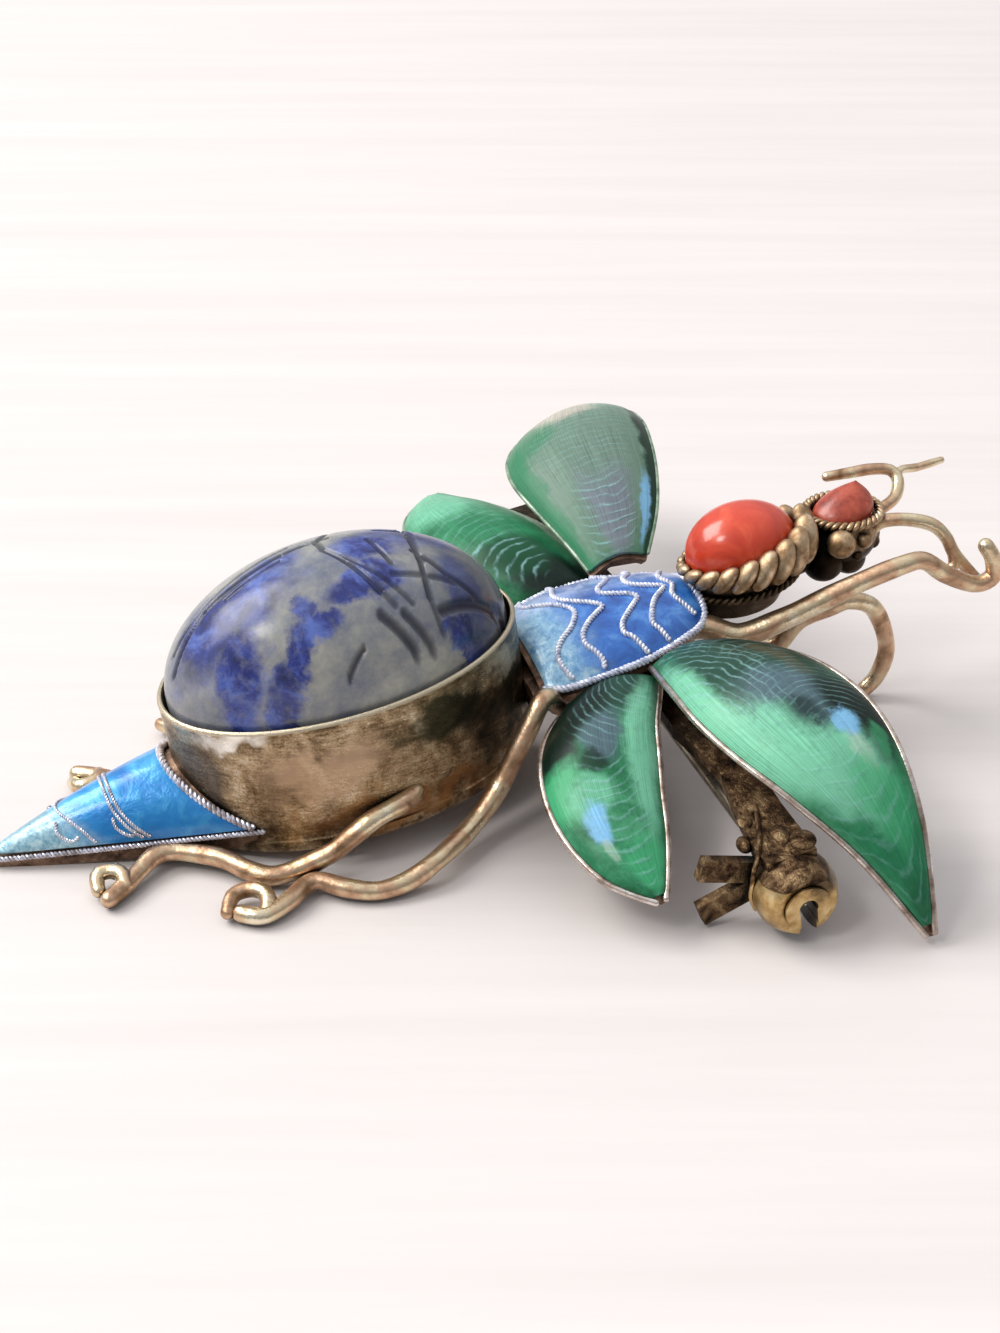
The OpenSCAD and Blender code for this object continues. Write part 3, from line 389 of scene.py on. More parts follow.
# Carved lines: from, to and width, in hundredths of the stone's half length and half width, and depth
CARVED = [((-93, -12), (-66, 6), 2, 0.8), ((-66, 6), (-43, 12), 2.6, 1.0), ((-43, 12), (-18, 20), 2.6, 1.0),
          ((-18, 20), (11, 25), 2, 0.8), ((-90, 2), (-60, 17), 1.6, 0.7), ((-60, 17), (-12, 34), 1.6, 0.7),
          ((-55, -2), (-20, 9), 1.6, 0.5), ((-12, 34), (2, 24), 2, 0.8), ((2, 24), (4, 2), 2.4, 0.8),
          ((4, 2), (12, -20), 2.8, 0.9), ((12, -20), (24, -55), 2.8, 0.8), ((24, -55), (29, -66), 2.4, 0.6),
          ((30, 5), (36, -30), 2.4, 0.7), ((34, -42), (68, -44), 2, 0.6), ((12, -15), (39, -65), 1.8, 0.6),
          ((4, 24), (20, 62), 2.4, 0.9), ((20, 62), (30, 82), 2, 0.7), ((54, 21), (53, -27), 2.8, 1.0),
          ((53, -27), (50, -60), 2.4, 0.9), ((50, -60), (51, -77), 2, 0.6), ((54, 21), (52, 75), 2.4, 0.9),
          ((38, 28), (54, 21), 2.2, 0.8), ((51, -16), (64, -38), 2.2, 0.9), ((64, -38), (78, -48), 2, 0.7),
          ((51, 30), (66, 52), 2.2, 0.8), ((54, -67), (85, -47), 2.6, 1.0), ((85, -47), (92, -38), 2, 0.8),
          ((20, -72), (32, -87), 3.2, 1.0), ((33, -72), (42, -84), 3, 0.9), ((-7, -94), (5, -86), 1.4, 0.9)]


def carving(x, y):
    """Depth of the cuts at a place on the stone, 0 to 1."""
    depth = np.zeros_like(x)
    for start, end, width, deep in CARVED:
        start, along = np.array(start) / 100, np.subtract(end, start) / 100
        share = np.clip(((x - start[0]) * along[0] + (y - start[1]) * along[1]) / (along @ along), 0, 1)
        off = np.hypot(x - start[0] - share * along[0], (y - start[1] - share * along[1]) * stone_b / stone_a)
        depth = np.maximum(depth, deep * np.clip(1 - (100 * off / width) ** 2, 0, 1))
    return depth


stone_steps, stone_rows = 420, 170
t = np.linspace(0, turn, stone_steps, endpoint=False)
e = np.linspace(0, 0.994 * turn / 4, stone_rows)[:, None]
x, y = np.cos(e) * np.cos(t), np.cos(e) * np.sin(t)
cut = carving(x, y)
inward = 1 - 0.015 * cut
z = bezel_h - 0.12 + dome_h * np.sin(e) - carving_depth * cut
dome = np.stack([stone_a * x * inward, stone_b * y * inward, z], -1)
wall = ring(stone_a, stone_b, bezel_h - 2.0, stone_steps)
stone_spots = np.concatenate([np.stack([x[:1], y[:1], 0 * x[:1]], -1), np.stack([x, y, cut], -1)])

stone = Finish("blue_stone", Roughness=0.22, IOR=1.45)
at, where = stone.place(), stone.spot()
along, _, cut_depth = stone.parts(where)
drift = stone.drifted(where, at, 0.34, 7.0, 0.66, (0.40, 0.55, 0.0))

# Blue clouds in the grey stone: along, across, half length, half width, turn, strength
BLUE = [(-0.56, -0.16, 0.36, 0.34, 12, 0.95), (-0.34, 0.02, 0.26, 0.16, 10, 0.85),
        (-0.62, -0.6, 0.16, 0.24, 0, 1.0), (-0.12, -0.66, 0.13, 0.12, -20, 1.0),
        (-0.2, -0.52, 0.06, 0.1, 0, 0.9), (-0.27, -0.76, 0.16, 0.08, 60, 1.0),
        (-0.42, -0.86, 0.13, 0.09, 65, 0.95), (0.26, -0.06, 0.22, 0.24, 0, 1.0),
        (0.16, -0.42, 0.24, 0.13, 12, 1.0), (0.42, 0.14, 0.2, 0.26, 0, 0.75),
        (0.62, -0.72, 0.09, 0.1, 0, 1.0), (0.7, -0.4, 0.12, 0.26, 0, 0.8), (0.68, 0.3, 0.2, 0.34, 0, 0.8),
        (-0.1, 0.62, 0.38, 0.16, 0, 0.7), (0.2, 0.6, 0.2, 0.2, 0, 0.7)]
blue = 0.0
for x0, y0, long, wide, angle, strength in BLUE:
    cloud = stone.calc("MULTIPLY", stone.blot(drift, x0, y0, long, wide, angle, 0.36), strength)
    blue = stone.calc("MAXIMUM", blue, cloud)
speckle = stone.cloud(at, 0.7, 5.0, 0.65)
blue = stone.calc("MULTIPLY", blue, stone.step(speckle, 0.26, 0.52, 0.6, 1.0), clamp=True)
matrix = stone.ramp(stone.cloud(at, 2.8, 7.0, 0.7), (0.30, (92, 98, 118)), (0.48, (130, 132, 134)),
                    (0.66, (162, 160, 150)))
blues = stone.ramp(stone.cloud(at, 1.9, 5.0, 0.66, 0.5), (0.32, (26, 30, 70)), (0.48, (48, 58, 124)),
                   (0.64, (86, 106, 176)))
shade = stone.blend(matrix, blues, blue)
shade = stone.blend(shade, (34, 40, 58), stone.step(along, 0.45, 0.85, 0.0, 0.6))
stroke = stone.calc("MULTIPLY", stone.calc("POWER", cut_depth, 0.6), 0.85)
stone.feed("Base Color", stone.blend(shade, (26, 26, 42), stroke))
stone.feed("Normal", stone.relief(speckle, 0.01))
piece("body_stone_carved", [skin(np.concatenate([wall[None], dome]), spots=stone_spots)], stone,
      ["body_stone"], sharp=60)

# Tail
# A pointed, crested sheet of silver soldered behind the bezel, with a twisted wire along each
# edge and across its root, twisted cross wires, and sky blue enamel melted between them.
def smooth_through(points, steps):
    """Points of a smooth curve through the given ones."""
    p = np.asarray(points, float)
    k = np.arange(steps)[:, None] / steps
    rows = []
    for i in range(len(p) - 1):
        a, b, c, d = p[max(i - 1, 0)], p[i], p[i + 1], p[min(i + 2, len(p) - 1)]
        rows.append(0.5 * (2 * b + (c - a) * k + (2 * a - 5 * b + 4 * c - d) * k ** 2
                           + (3 * b - a - 3 * c + d) * k ** 3))
    return np.concatenate(rows + [p[-1:]])


def unit(v):
    return v / np.linalg.norm(v, axis=-1, keepdims=True)


def above(at, s, t, edge, h):
    """Point at a height over a curved surface, s along it and t from its right to its left edge."""
    s, t, h = np.broadcast_arrays(np.asarray(s, float), np.asarray(t, float), np.asarray(h, float))
    e = 0.01
    a = at(np.minimum(s + e, 1), t, edge) - at(np.maximum(s - e, e / 4), t, edge)
    b = at(s, t + e, edge) - at(s, t - e, edge)
    n = unit(np.cross(a, b))
    n = np.where(n[..., 2:] < 0, -n, n)
    return at(s, t, edge) + h[..., None] * n


def slab(at, rows, edge, low, high, columns, round_over=0.0):
    """Sheet between two heights over a surface. Its spots hold along, across and its side."""
    t = np.linspace(-1, 1, columns)
    s = np.asarray(rows, float)[:, None]
    fall = round_over * np.clip((np.abs(t) - 0.8) / 0.2, 0, 1) ** 2
    ends = round_over * np.clip(1 - np.minimum(s - s[0], s[-1] - s) / 0.03, 0, 1) ** 2
    top = above(at, s + 0 * t, t + 0 * s, edge, high - np.maximum(fall, ends))
    under = above(at, s + 0 * t, t[::-1] + 0 * s, edge, low)
    spots = np.concatenate([np.stack(np.broadcast_arrays(s, t, 1.0), -1),
                            np.stack(np.broadcast_arrays(s, t[::-1], 0.0), -1)], 1)
    return skin(np.concatenate([top, under], 1), spots=spots)


def carried(path):
    """For each point of a path its direction and two directions across it, turned as little as possible."""
    ahead = unit(np.gradient(path, axis=0))
    side = np.array([1.0, 0, 0] if abs(ahead[0][2]) > 0.8 else [0, 0, 1.0])
    sides = []
    for step in ahead:
        side = side - (side @ step) * step
        side = side / np.linalg.norm(side)
        sides.append(side)
    sides = np.array(sides)
    return ahead, sides, np.cross(ahead, sides)


def wire(path, radius, sides=12):
    """Round wire along a path, with rounded ends."""
    path = np.asarray(path, float)
    radius = np.broadcast_to(np.asarray(radius, float), len(path))
    ahead, u, w = carried(path)
    a = np.linspace(0, turn, sides, endpoint=False)[:, None]
    rings, spots = [], []
    gone = np.concatenate([[0], np.cumsum(np.linalg.norm(np.diff(path, axis=0), axis=1))])
    last = len(path) - 1
    ends = [(0, 75), (0, 50), (0, 25)], [(last, -25), (last, -50), (last, -75)]
    for i, e in ends[0] + [(i, 0) for i in range(last + 1)] + ends[1]:
        lean = math.radians(abs(e))
        middle = path[i] - ahead[i] * radius[i] * math.sin(lean) * (1 if e > 0 else -1)
        rings.append(middle + radius[i] * math.cos(lean) * (np.cos(a) * u[i] + np.sin(a) * w[i]))
        spots.append([(gone[i], round_it, gone[-1] - gone[i]) for round_it in a[:, 0] / turn])
    return skin(rings, spots=spots)


def even_steps(path, step):
    """The same path with points at even distances."""
    path = np.asarray(path, float)
    gone = np.concatenate([[0], np.cumsum(np.linalg.norm(np.diff(path, axis=0), axis=1))])
    want = np.linspace(0, gone[-1], max(3, int(gone[-1] / step) + 1))
    return np.stack([np.interp(want, gone, path[:, k]) for k in range(3)], -1)


def twisted(path, radius, pitch, sides=7):
    """Two thin wires twisted together along a path, once round in each pitch."""
    turn_steps = 9
    path = even_steps(path, pitch / turn_steps)
    _, u, w = carried(path)
    phase = np.arange(len(path))[:, None] / turn_steps * turn
    strands = []
    for start in (0, math.pi):
        offset = np.cos(phase + start) * u + np.sin(phase + start) * w
        strands.append(wire(path + 0.48 * radius * offset, 0.54 * radius, sides))
    return strands


tail_len = 10.6
tail_w = 4.7
tail_tip_z = 1.4
tail_edge_z = 1.05
tail_rise = 3.0
tail_root_a, tail_root_b = bezel_a - 0.35, bezel_b - 0.35


def tail_at(s, t, edge=0.0):
    """The top of the tail sheet: s runs from its tip to the bezel, t from its right to its left edge."""
    v = t * np.maximum(0.1, 1 - edge / (tail_w * s))
    root_y = np.minimum(tail_w * np.abs(v), tail_root_b - 0.5)
    root = -tail_root_a * np.sqrt(1 - (root_y / tail_root_b) ** 2)
    tip = -bezel_a - tail_len
    return np.stack([tip + s * (root - tip), s * tail_w * v, tail_tip_z + s * (tail_edge_z - tail_tip_z)
                     + tail_rise * (1 - (1 - s) ** 1.6) * (1 - np.abs(v) ** 1.8)], -1)


silver = Finish("silver_wire", Metallic=0.7)
silver.worn(silver.cloud(silver.place(), 0.6, 4.0, 0.65),
            ((0.32, (150, 140, 136)), (0.48, (208, 206, 218)), (0.62, (236, 238, 250))),
            (58, 50, 52), (0.4, 0.1, 0.6), (0.5, 0.24))
brown = Finish("brown_back", Metallic=0.75)
brown.worn(brown.cloud(brown.place(), 1.4, 5.0, 0.66, 0.4),
           ((0.34, (58, 42, 32)), (0.5, (122, 96, 78)), (0.64, (168, 138, 116)), (0.76, (196, 172, 146))),
           rough=(0.58, 0.34), grain=(0.3, 4.0, 0.6, 0.04))

tail_rows = np.linspace(0.04, 1, 60)


def upright_strip(at, rows, side, drop, thick=0.25):
    """A thin strip standing under one edge of a surface, as deep as drop says for each row."""
    rings = []
    for s, deep in zip(rows, drop):
        edge = at(np.float64(s), np.float64(side), 0.0)
        out, up = np.array([0, side, 0.0]), np.array([0, 0, 1.0])
        rings.append([edge + 0.06 * out + 0.12 * up, edge + 0.09 * out - 0.5 * deep * up,
                      edge + 0.04 * out - deep * up, edge - thick * out - deep * up,
                      edge - thick * out + 0.1 * up])
    return skin(rings)


strip_drop = 0.42 + 0.38 * np.clip(tail_rows / 0.5, 0, 1)
piece("tail_sheet", [slab(tail_at, tail_rows, 0.06, -0.45, 0.0, 33)]
      + [upright_strip(tail_at, tail_rows, side, strip_drop) for side in (-1, 1)], brown)


def both_sides(half):
    """A path from the right edge to the left one, from its places between crest and left edge."""
    return [(s, -t) for s, t in half[:0:-1]] + half


# Wires of the tail: places in hundredths along it and across from its crest
TAIL_BORDER = (3, 30, 60, 93.5)
TAIL_ROOT = both_sides([(92, 0), (92, 35), (92.5, 70), (93, 100)])
TAIL_BAR = both_sides([(64, 0), (63.5, 20), (61.5, 50), (60, 78), (60, 96)])
TAIL_THIN = both_sides([(40, 0), (42, 40), (43.5, 70), (43, 96)])
TAIL_CURLS = [[(57.5, -62), (55, -78), (56, -92), (59.5, -86)],
              [(37, -35), (34.5, -62), (36, -86), (40, -80)]]


def on_surface(at, places, edge, h, steps=10):
    """A path over a surface through places given in hundredths along and across."""
    p = smooth_through(places, steps) / 100
    return above(at, p[:, 0], p[:, 1], edge, h)


tail_wires = []
for side in (-100, 100):
    tail_wires += twisted(on_surface(tail_at, [(s, side) for s in TAIL_BORDER], 0.1, 0.26), 0.15, 0.42)
tail_wires += twisted(on_surface(tail_at, TAIL_ROOT, 0.3, 0.26), 0.22, 0.56)
for apart in (-1.2, 1.2):
    tail_wires += twisted(on_surface(tail_at, [(s + apart, t) for s, t in TAIL_BAR], 0.3, 0.36), 0.1, 0.3)
tail_wires += twisted(on_surface(tail_at, TAIL_THIN, 0.3, 0.36), 0.09, 0.28)
for places in TAIL_CURLS:
    for side in (1, -1):
        tail_wires += twisted(on_surface(tail_at, [(s, side * t) for s, t in places], 0.3, 0.36), 0.1, 0.3)
piece("tail_wires", tail_wires, silver)

sky = Finish("sky_enamel", Metallic=0.15, Roughness=0.3, Coat_Weight=0.4, Coat_Roughness=0.12)
at = sky.place()
along, across, _ = sky.parts(sky.spot())
cloud = sky.cloud(at, 1.5, 4.0, 0.6, 0.5)
shade = sky.ramp(cloud, (0.3, (14, 108, 184)), (0.5, (28, 138, 208)), (0.7, (86, 184, 230)))
near_tip = sky.step(sky.calc("ADD", along, sky.calc("MULTIPLY", cloud, 0.16)), 0.58, 0.40)
pale_tip = sky.ramp(sky.cloud(at, 0.45, 4.0, 0.7), (0.36, (104, 150, 172)), (0.52, (150, 190, 204)),
                    (0.66, (186, 212, 218)))
shade = sky.blend(shade, pale_tip, near_tip)
deep = sky.calc("MULTIPLY", sky.step(sky.calc("ABSOLUTE", across), 0.3, 0.85), sky.step(along, 0.44, 0.54))
shade = sky.blend(shade, (14, 104, 170), sky.calc("MULTIPLY", deep, 0.6))
sky.feed("Base Color", shade)
sky.feed("Normal", sky.relief(cloud, 0.12))
piece("tail_enamel_filled", [slab(tail_at, np.linspace(0.075, 0.915, 90), 0.26, 0.03, 0.34, 49, 0.08)], sky,
      ["tail_enamel"])

# Thorax
# A low arched silver sheet between bezel and coral, on a solid block, bordered by a beaded wire
# and crossed by zigzag wires. The enamel between them runs from ice blue at the bezel to cobalt.
thorax_len = 10.2
thorax_w = 4.4
thorax_edge_z = 3.6
thorax_rise = 1.5
thorax_x = bezel_a - 0.1
thorax_end = bezel_a + thorax_len
core_z = thorax_edge_z - 1.7

# Thorax rows: share of length, share of half width, share of rise
THORAX = smooth_through([(0, 0.86, 0.6), (0.12, 1, 0.8), (0.35, 1, 1), (0.6, 0.93, 0.96), (0.82, 0.74, 0.8),
                         (0.95, 0.52, 0.62), (1, 0.38, 0.55)], 6)


def thorax_at(s, t, edge=0.0):
    """The top of the thorax sheet. Its left edge is drawn in near the bezel."""
    share, wide, high = THORAX.T
    w = thorax_w * np.interp(s, share, wide) * np.where(t > 0, 1 - 0.24 * np.clip(1 - s / 0.35, 0, 1), 1)
    v = t * np.maximum(0.1, 1 - edge / w)
    z = thorax_edge_z + thorax_rise * np.interp(s, share, high) * (1 - np.abs(v) ** 2.2)
    return np.stack([thorax_x + s * (thorax_end - thorax_x), w * v, z], -1)


# Zigzag wires from the right border over the crest to the left one: hundredths along and across
THORAX_ZIGZAGS = [
    [(16, -93), (14, -75), (15, -57), (20, -42), (28, -28), (33, -5), (28, 20), (20, 42), (15, 57),
     (14, 75), (16, 93)],
    [(33, -93), (34, -85), (32.5, -74), (29.5, -60), (31, -45), (37, -31), (42.5, -22), (47, -13), (43, 0),
     (36, 14), (31, 30), (30, 50), (33, 74), (33, 93)],
    [(57, -95), (55, -82), (53, -71), (50, -63), (51.5, -50), (57, -37), (62, -26), (66, -15), (64, -5),
     (57, 5), (51, 13), (51, 27), (57, 43), (60, 60), (56, 80), (57, 95)],
    [(70, -93), (68, -76), (66, -64), (69, -46), (74, -27), (82, -6), (77, 5), (70, 14), (66.5, 25),
     (67, 45), (72, 65), (72, 90)],
    [(89, -80), (86.5, -58), (84.5, -42), (84, -25), (87, -2), (84, 20), (84, 40), (87, 60)]]
side_steps = np.linspace(8, 92, 9)
thorax_border = [(2, -100), *((s, -100) for s in side_steps), (96.5, -80), (97.5, -30), (97.5, 30),
                 (96.5, 80), *((s, 100) for s in side_steps[::-1]), (2, 100)]

piece("thorax_sheet", [slab(thorax_at, np.linspace(0.0, 1, 70), 0.05, -0.45, 0.0, 41)], brown)
white = Finish("white_wire", Metallic=0.35)
white.worn(white.cloud(white.place(), 0.5, 4.0, 0.65),
           ((0.34, (150, 160, 186)), (0.46, (200, 204, 222)), (0.60, (226, 228, 240))),
           (64, 84, 128), (0.3, 0.1, 0.55), (0.5, 0.34))
thorax_wires = twisted(on_surface(thorax_at, thorax_border, 0.16, 0.22, 12), 0.22, 0.5)
for places in THORAX_ZIGZAGS:
    thorax_wires += twisted(on_surface(thorax_at, places, 0.2, 0.38), 0.16, 0.42)
piece("thorax_wires", thorax_wires, white)

cobalt = Finish("cobalt_enamel", Metallic=0.15, Roughness=0.3, Coat_Weight=0.4, Coat_Roughness=0.12)
at = cobalt.place()
along, across, _ = cobalt.parts(cobalt.spot())
cloud = cobalt.cloud(at, 1.3, 4.0, 0.6, 0.5)
shade = cobalt.ramp(cloud, (0.3, (18, 66, 142)), (0.5, (38, 98, 178)), (0.7, (84, 140, 206)))
ice = cobalt.step(cobalt.calc("ADD", along, cobalt.calc("MULTIPLY", cloud, 0.34)), 0.56, 0.30)
pale_root = cobalt.ramp(cobalt.cloud(at, 0.5, 4.0, 0.7), (0.36, (92, 142, 180)), (0.52, (134, 178, 206)),
                        (0.68, (176, 204, 216)))
shade = cobalt.blend(shade, pale_root, ice)
scribble = cobalt.add("TexNoise", {"Vector": at, "Scale": 1.6, "Detail": 1.0, "Distortion": 1.4})
scribble = cobalt.step(cobalt.calc("PINGPONG", cobalt.calc("MULTIPLY", scribble, 5.0), 0.5), 0.07, 0.0)
scribble = cobalt.calc("MULTIPLY", scribble, cobalt.step(along, 0.34, 0.18, 0.0, 0.55))
shade = cobalt.blend(shade, (70, 96, 130), scribble)
lilac = cobalt.calc("MULTIPLY", cobalt.step(across, 0.1, 0.55),
                    cobalt.step(cobalt.cloud(at, 0.8, 4.0, 0.6), 0.36, 0.6, 0.3, 0.85))
cobalt.feed("Base Color", cobalt.blend(shade, (178, 190, 226), lilac))
cobalt.feed("Normal", cobalt.relief(cloud, 0.1))
piece("thorax_enamel_filled", [slab(thorax_at, np.linspace(0.03, 0.955, 90), 0.32, 0.03, 0.34, 57, 0.08)],
      cobalt, ["thorax_enamel"])


def block_ring(x, half, low, high, steps=40):
    """Rounded rectangle across the insect."""
    a = np.linspace(0, turn, steps, endpoint=False)
    c, s = np.cos(a), np.sin(a)
    squareness = 0.28
    y = half * np.sign(c) * np.abs(c) ** squareness
    z = (high + low) / 2 + (high - low) / 2 * np.sign(s) * np.abs(s) ** squareness
    return np.stack([np.full(steps, x), y, z], -1)


# Block under the thorax, which carries trays, collar and pin bar: along, half width, underside, top
THORAX_BLOCK = [(9.0, 3.3, 1.95, 3.5), (9.6, 3.3, 1.9, 3.6), (13.6, 3.2, 1.9, 3.6), (16.5, 2.6, 1.92, 3.6),
                (18.4, 2.0, 1.95, 3.65), (18.7, 1.8, 2.1, 3.5)]
piece("thorax_block", [skin([block_ring(*row) for row in THORAX_BLOCK])], brown)

# Shoulder coral
# A high oval of orange red coral in a cup, with a collar of separate lobes laid aslant around it.
# The lobes swell towards the head; the cup below is painted darker lower down, as shade under
# the collar, and has a fine rope on it.
coral_a = 3.1
coral_b = 2.4
coral_dome = 2.4
coral_z = 6.1
coral_x = thorax_end + coral_a - 0.25


def nodding(points, tip, at):
    """Points turned nose down by an angle and set in their place."""
    c, s = math.cos(tip), math.sin(tip)
    x, y, z = np.moveaxis(np.asarray(points, float), -1, 0)
    return np.stack([x * c + z * s, y, z * c - x * s], -1) + np.array(at)


def cabochon(at, a, b, dome, sunk, tip=0.0, steps=96, rows=36, forward=0.0, aside=0.0, peak=1.0):
    """Oval domed stone with straight sides below its girdle. Its top may stand off its middle, in a peak."""
    rings = [ring(a, b, -sunk, steps)]
    for e in np.linspace(0, 0.985 * turn / 4, rows):
        out, up = math.cos(e) ** peak, math.sin(e)
        rings.append(ring(a * out, b * out, dome * up, steps) + [forward * up, aside * up, 0])
    return skin(nodding(rings, tip, at))


def rope(at, a, b, radius, twists, tip=0.0, swell=0.0, steps=400, sides=10):
    """Closed rope of two strands round an oval, thinner at the tail side."""
    t = np.linspace(0, turn, steps, endpoint=False)
    thick = radius * (1 - swell * (1 - np.cos(t)))[:, None]
    out = unit(np.stack([b * np.cos(t), a * np.sin(t), 0 * t], -1))
    up = np.array([0, 0, 1.0])
    path = ring(a, b, 0.0, steps) + thick * out
    strands = []
    for start in (0, math.pi):
        phase = (twists * t + start)[:, None]
        middle = path + 0.5 * thick * (np.cos(phase) * out + np.sin(phase) * up)
        ahead = unit(np.roll(middle, -1, 0) - np.roll(middle, 1, 0))
        u = unit(out - (out * ahead).sum(-1, keepdims=True) * ahead)
        w = np.cross(ahead, u)
        c = np.linspace(0, turn, sides, endpoint=False)[None, :, None]
        points = middle[:, None] + 0.56 * thick[:, None] * (np.cos(c) * u[:, None] + np.sin(c) * w[:, None])
        strands.append(skin(nodding(points, tip, at), loop=True))
    return strands


def ball(middle, radius, steps=28, rows=15, squash=(1, 1, 1)):
    """Ball, cut a little flat at its two ends, or squashed."""
    tilts = np.linspace(-0.47, 0.47, rows) * math.pi
    rings = np.array([ring(math.cos(e), math.cos(e), math.sin(e), steps) for e in tilts])
    return skin(rings * radius * np.array(squash) + np.array(middle))


coral = Finish("coral", Roughness=0.24, Coat_Weight=0.35, Coat_Roughness=0.1, Subsurface_Weight=0.12,
               Subsurface_Scale=0.0006)
coral.worn(coral.cloud(coral.place(), 1.8, 4.0, 0.6, 0.8),
           ((0.3, (182, 50, 26)), (0.52, (204, 64, 34)), (0.74, (218, 86, 52))),
           grain=(0.35, 3.0, 0.5, 0.008))
piece("shoulder_coral_polished", [cabochon((coral_x, 0, coral_z), coral_a, coral_b, coral_dome, 0.6)], coral,
      ["shoulder_coral"], sharp=60)


def level_height(point):
    """Height along the tipped brooch's own upright, in millimetres, of a place drawn level."""
    place = laid(point) * 1000
    return place[2] - place[0] * math.tan(pitch)


gold = Finish("old_gold", Metallic=0.95)
at = gold.place()
tarnish = gold.cloud(at, 0.9, 4.0, 0.62, 0.4)
shade = gold.ramp(tarnish, (0.32, (132, 104, 74)), (0.5, (190, 160, 126)), (0.68, (226, 202, 170)))
shade = gold.blend((24, 18, 12), shade, gold.crevice(1.6, 0.24, 0.80))
forward, aside, upward = gold.parts(at)
height = gold.calc("MULTIPLY_ADD", forward, -math.tan(pitch), upward)
# Painted shade: darker lower down, on the cup under the collar
cup_shade_top = level_height((coral_x, 0, coral_z - 0.9))
cup_shade = gold.step(gold.calc("ADD", height, tarnish), cup_shade_top + 1.2, cup_shade_top - 0.6, 0.0, 0.8)
shade = gold.blend(shade, (40, 30, 20), cup_shade)
# Painted shade, near black, round the neck between the coral's cup and the head
neck_at = laid((coral_x + coral_a + 1.1, 0, 4.6)) * 1000
shade = gold.blend(shade, (14, 10, 8), gold.step(gold.distance(at, neck_at), 2.5, 1.7, 0.0, 0.97))
# Painted shade on the underside of the head, in front of the neck
chin_top = level_height((coral_x + coral_a + 3.0, 0, 4.5))
chin = gold.calc("MULTIPLY", gold.step(height, chin_top + 0.5, chin_top - 0.4, 0.0, 0.9),
                 gold.step(forward, neck_at[0] - 0.5, neck_at[0] + 0.5))
gold.feed("Base Color", gold.blend(shade, (46, 34, 24), chin))
gold.feed("Roughness", gold.step(tarnish, 0.3, 0.7, 0.54, 0.36))
gold.feed("Normal", gold.relief(gold.cloud(at, 0.22, 3.0, 0.6), 0.015))

collar = []
t = math.pi
while t < 3 * math.pi - 0.08:
    big = (1 + math.cos(t + 0.6)) / 2
    far_side = max(0.0, math.sin(t))
    long, wide = (0.60 + 0.78 * big) * (1 - 0.4 * far_side), 0.30 + 0.34 * big
    deep = (0.34 + 0.42 * big) * (1 - 0.25 * far_side)
    lean = math.radians(66 - 42 * big)
    out = unit(np.array([coral_b * math.cos(t), coral_a * math.sin(t), 0]))
    tall = np.array([-out[1] * math.sin(lean), out[0] * math.sin(lean), math.cos(lean)])
    middle = np.array([coral_x + coral_a * math.cos(t), coral_b * math.sin(t), 0]) + 0.6 * deep * out
    middle[2] += coral_z - 0.42 + 0.62 * big * big - 0.5 * far_side
    points, faces, spots = ball((0, 0, 0), 1.0, 16, 11)
    lobe = points @ np.array([wide * np.cross(tall, out), deep * out, long * tall])
    collar.append((middle + lobe, faces, spots))
    t += (0.74 + 0.32 * big) / math.hypot(coral_a * math.sin(t), coral_b * math.cos(t))

# Cup from its foot up: half length and half width as shares of the coral's, height, how far back
CUP = [(0.5, 0.5, 2.7, 0.5), (0.74, 0.72, 2.8, 0.4), (0.8, 0.78, 3.3, 0.3), (0.92, 0.92, 4.3, 0.1),
       (1.06, 1.08, 5.2, 0), (1.02, 1.02, 5.5, 0)]
cup = skin([ring(a * coral_a, b * coral_b, z, 64) + [coral_x - back, 0, 0] for a, b, z, back in CUP])
low_rope = rope((coral_x - 0.15, 0, 4.35), 0.93 * coral_a, 0.93 * coral_b, 0.26, 24, swell=0.1, steps=480,
                sides=8)
piece("coral_collar", collar + low_rope + [cup], gold)

# Head
# A small lump of soldered gilt metal under a tipped coral cap in its own fine rope, with a large
# bead for each eye and smaller beads for the mouth, dark in every crevice.
head_x = coral_x + coral_a + 2.65
head_z = coral_z - 1.2
head_r = 1.75
head_coral_a = 1.75
head_coral_b = 1.5
head_dome = 1.55
head_coral_tip = math.radians(8)
head_coral_at = (head_x + 0.25, 0, head_z + head_r - 0.35)
eye_r = 0.73

dark_coral = Finish("dark_coral", Roughness=0.34, Coat_Weight=0.2, Coat_Roughness=0.15)
dark_coral.worn(dark_coral.cloud(dark_coral.place(), 0.9, 4.0, 0.65),
                ((0.32, (128, 44, 28)), (0.5, (166, 66, 44)), (0.68, (192, 92, 66))),
                grain=(0.3, 3.0, 0.5, 0.02))
cap = cabochon(head_coral_at, head_coral_a - 0.1, head_coral_b - 0.15, head_dome, 0.5, head_coral_tip, 64, 24,
               forward=0.8, aside=0.3, peak=2.3)
piece("head_coral_polished", [cap], dark_coral, ["head_coral"], sharp=60)
head_lumps = [ball((head_x - 0.9, 0, head_z - 0.2), 1.25), ball((head_x + 0.3, 0, head_z), head_r, 40, 25),
              ball((head_x - 1.3, -0.5, head_z - 1.0), 1.15), ball((head_x + 0.2, -0.5, head_z - 1.25), 0.95),
              ball((head_x + 1.2, 0, head_z - 0.3), 1.08),
              ball((head_x + 0.25, 0, head_z + 0.75), 1.6, 40, 21, (1.08, 1, 0.5))]
neck = wire([(coral_x + 0.9, 0, 4.1), (coral_x + 2.4, 0, 4.3), (head_x - 0.9, 0, head_z - 0.3)],
            [1.15, 1.05, 1.0], 24)
foot = wire([(thorax_end - 2.2, 0, core_z + 0.9), (thorax_end - 0.4, 0, 2.95),
             (coral_x - 0.4, 0, core_z + 1.3)], 0.85, 20)
beads = []
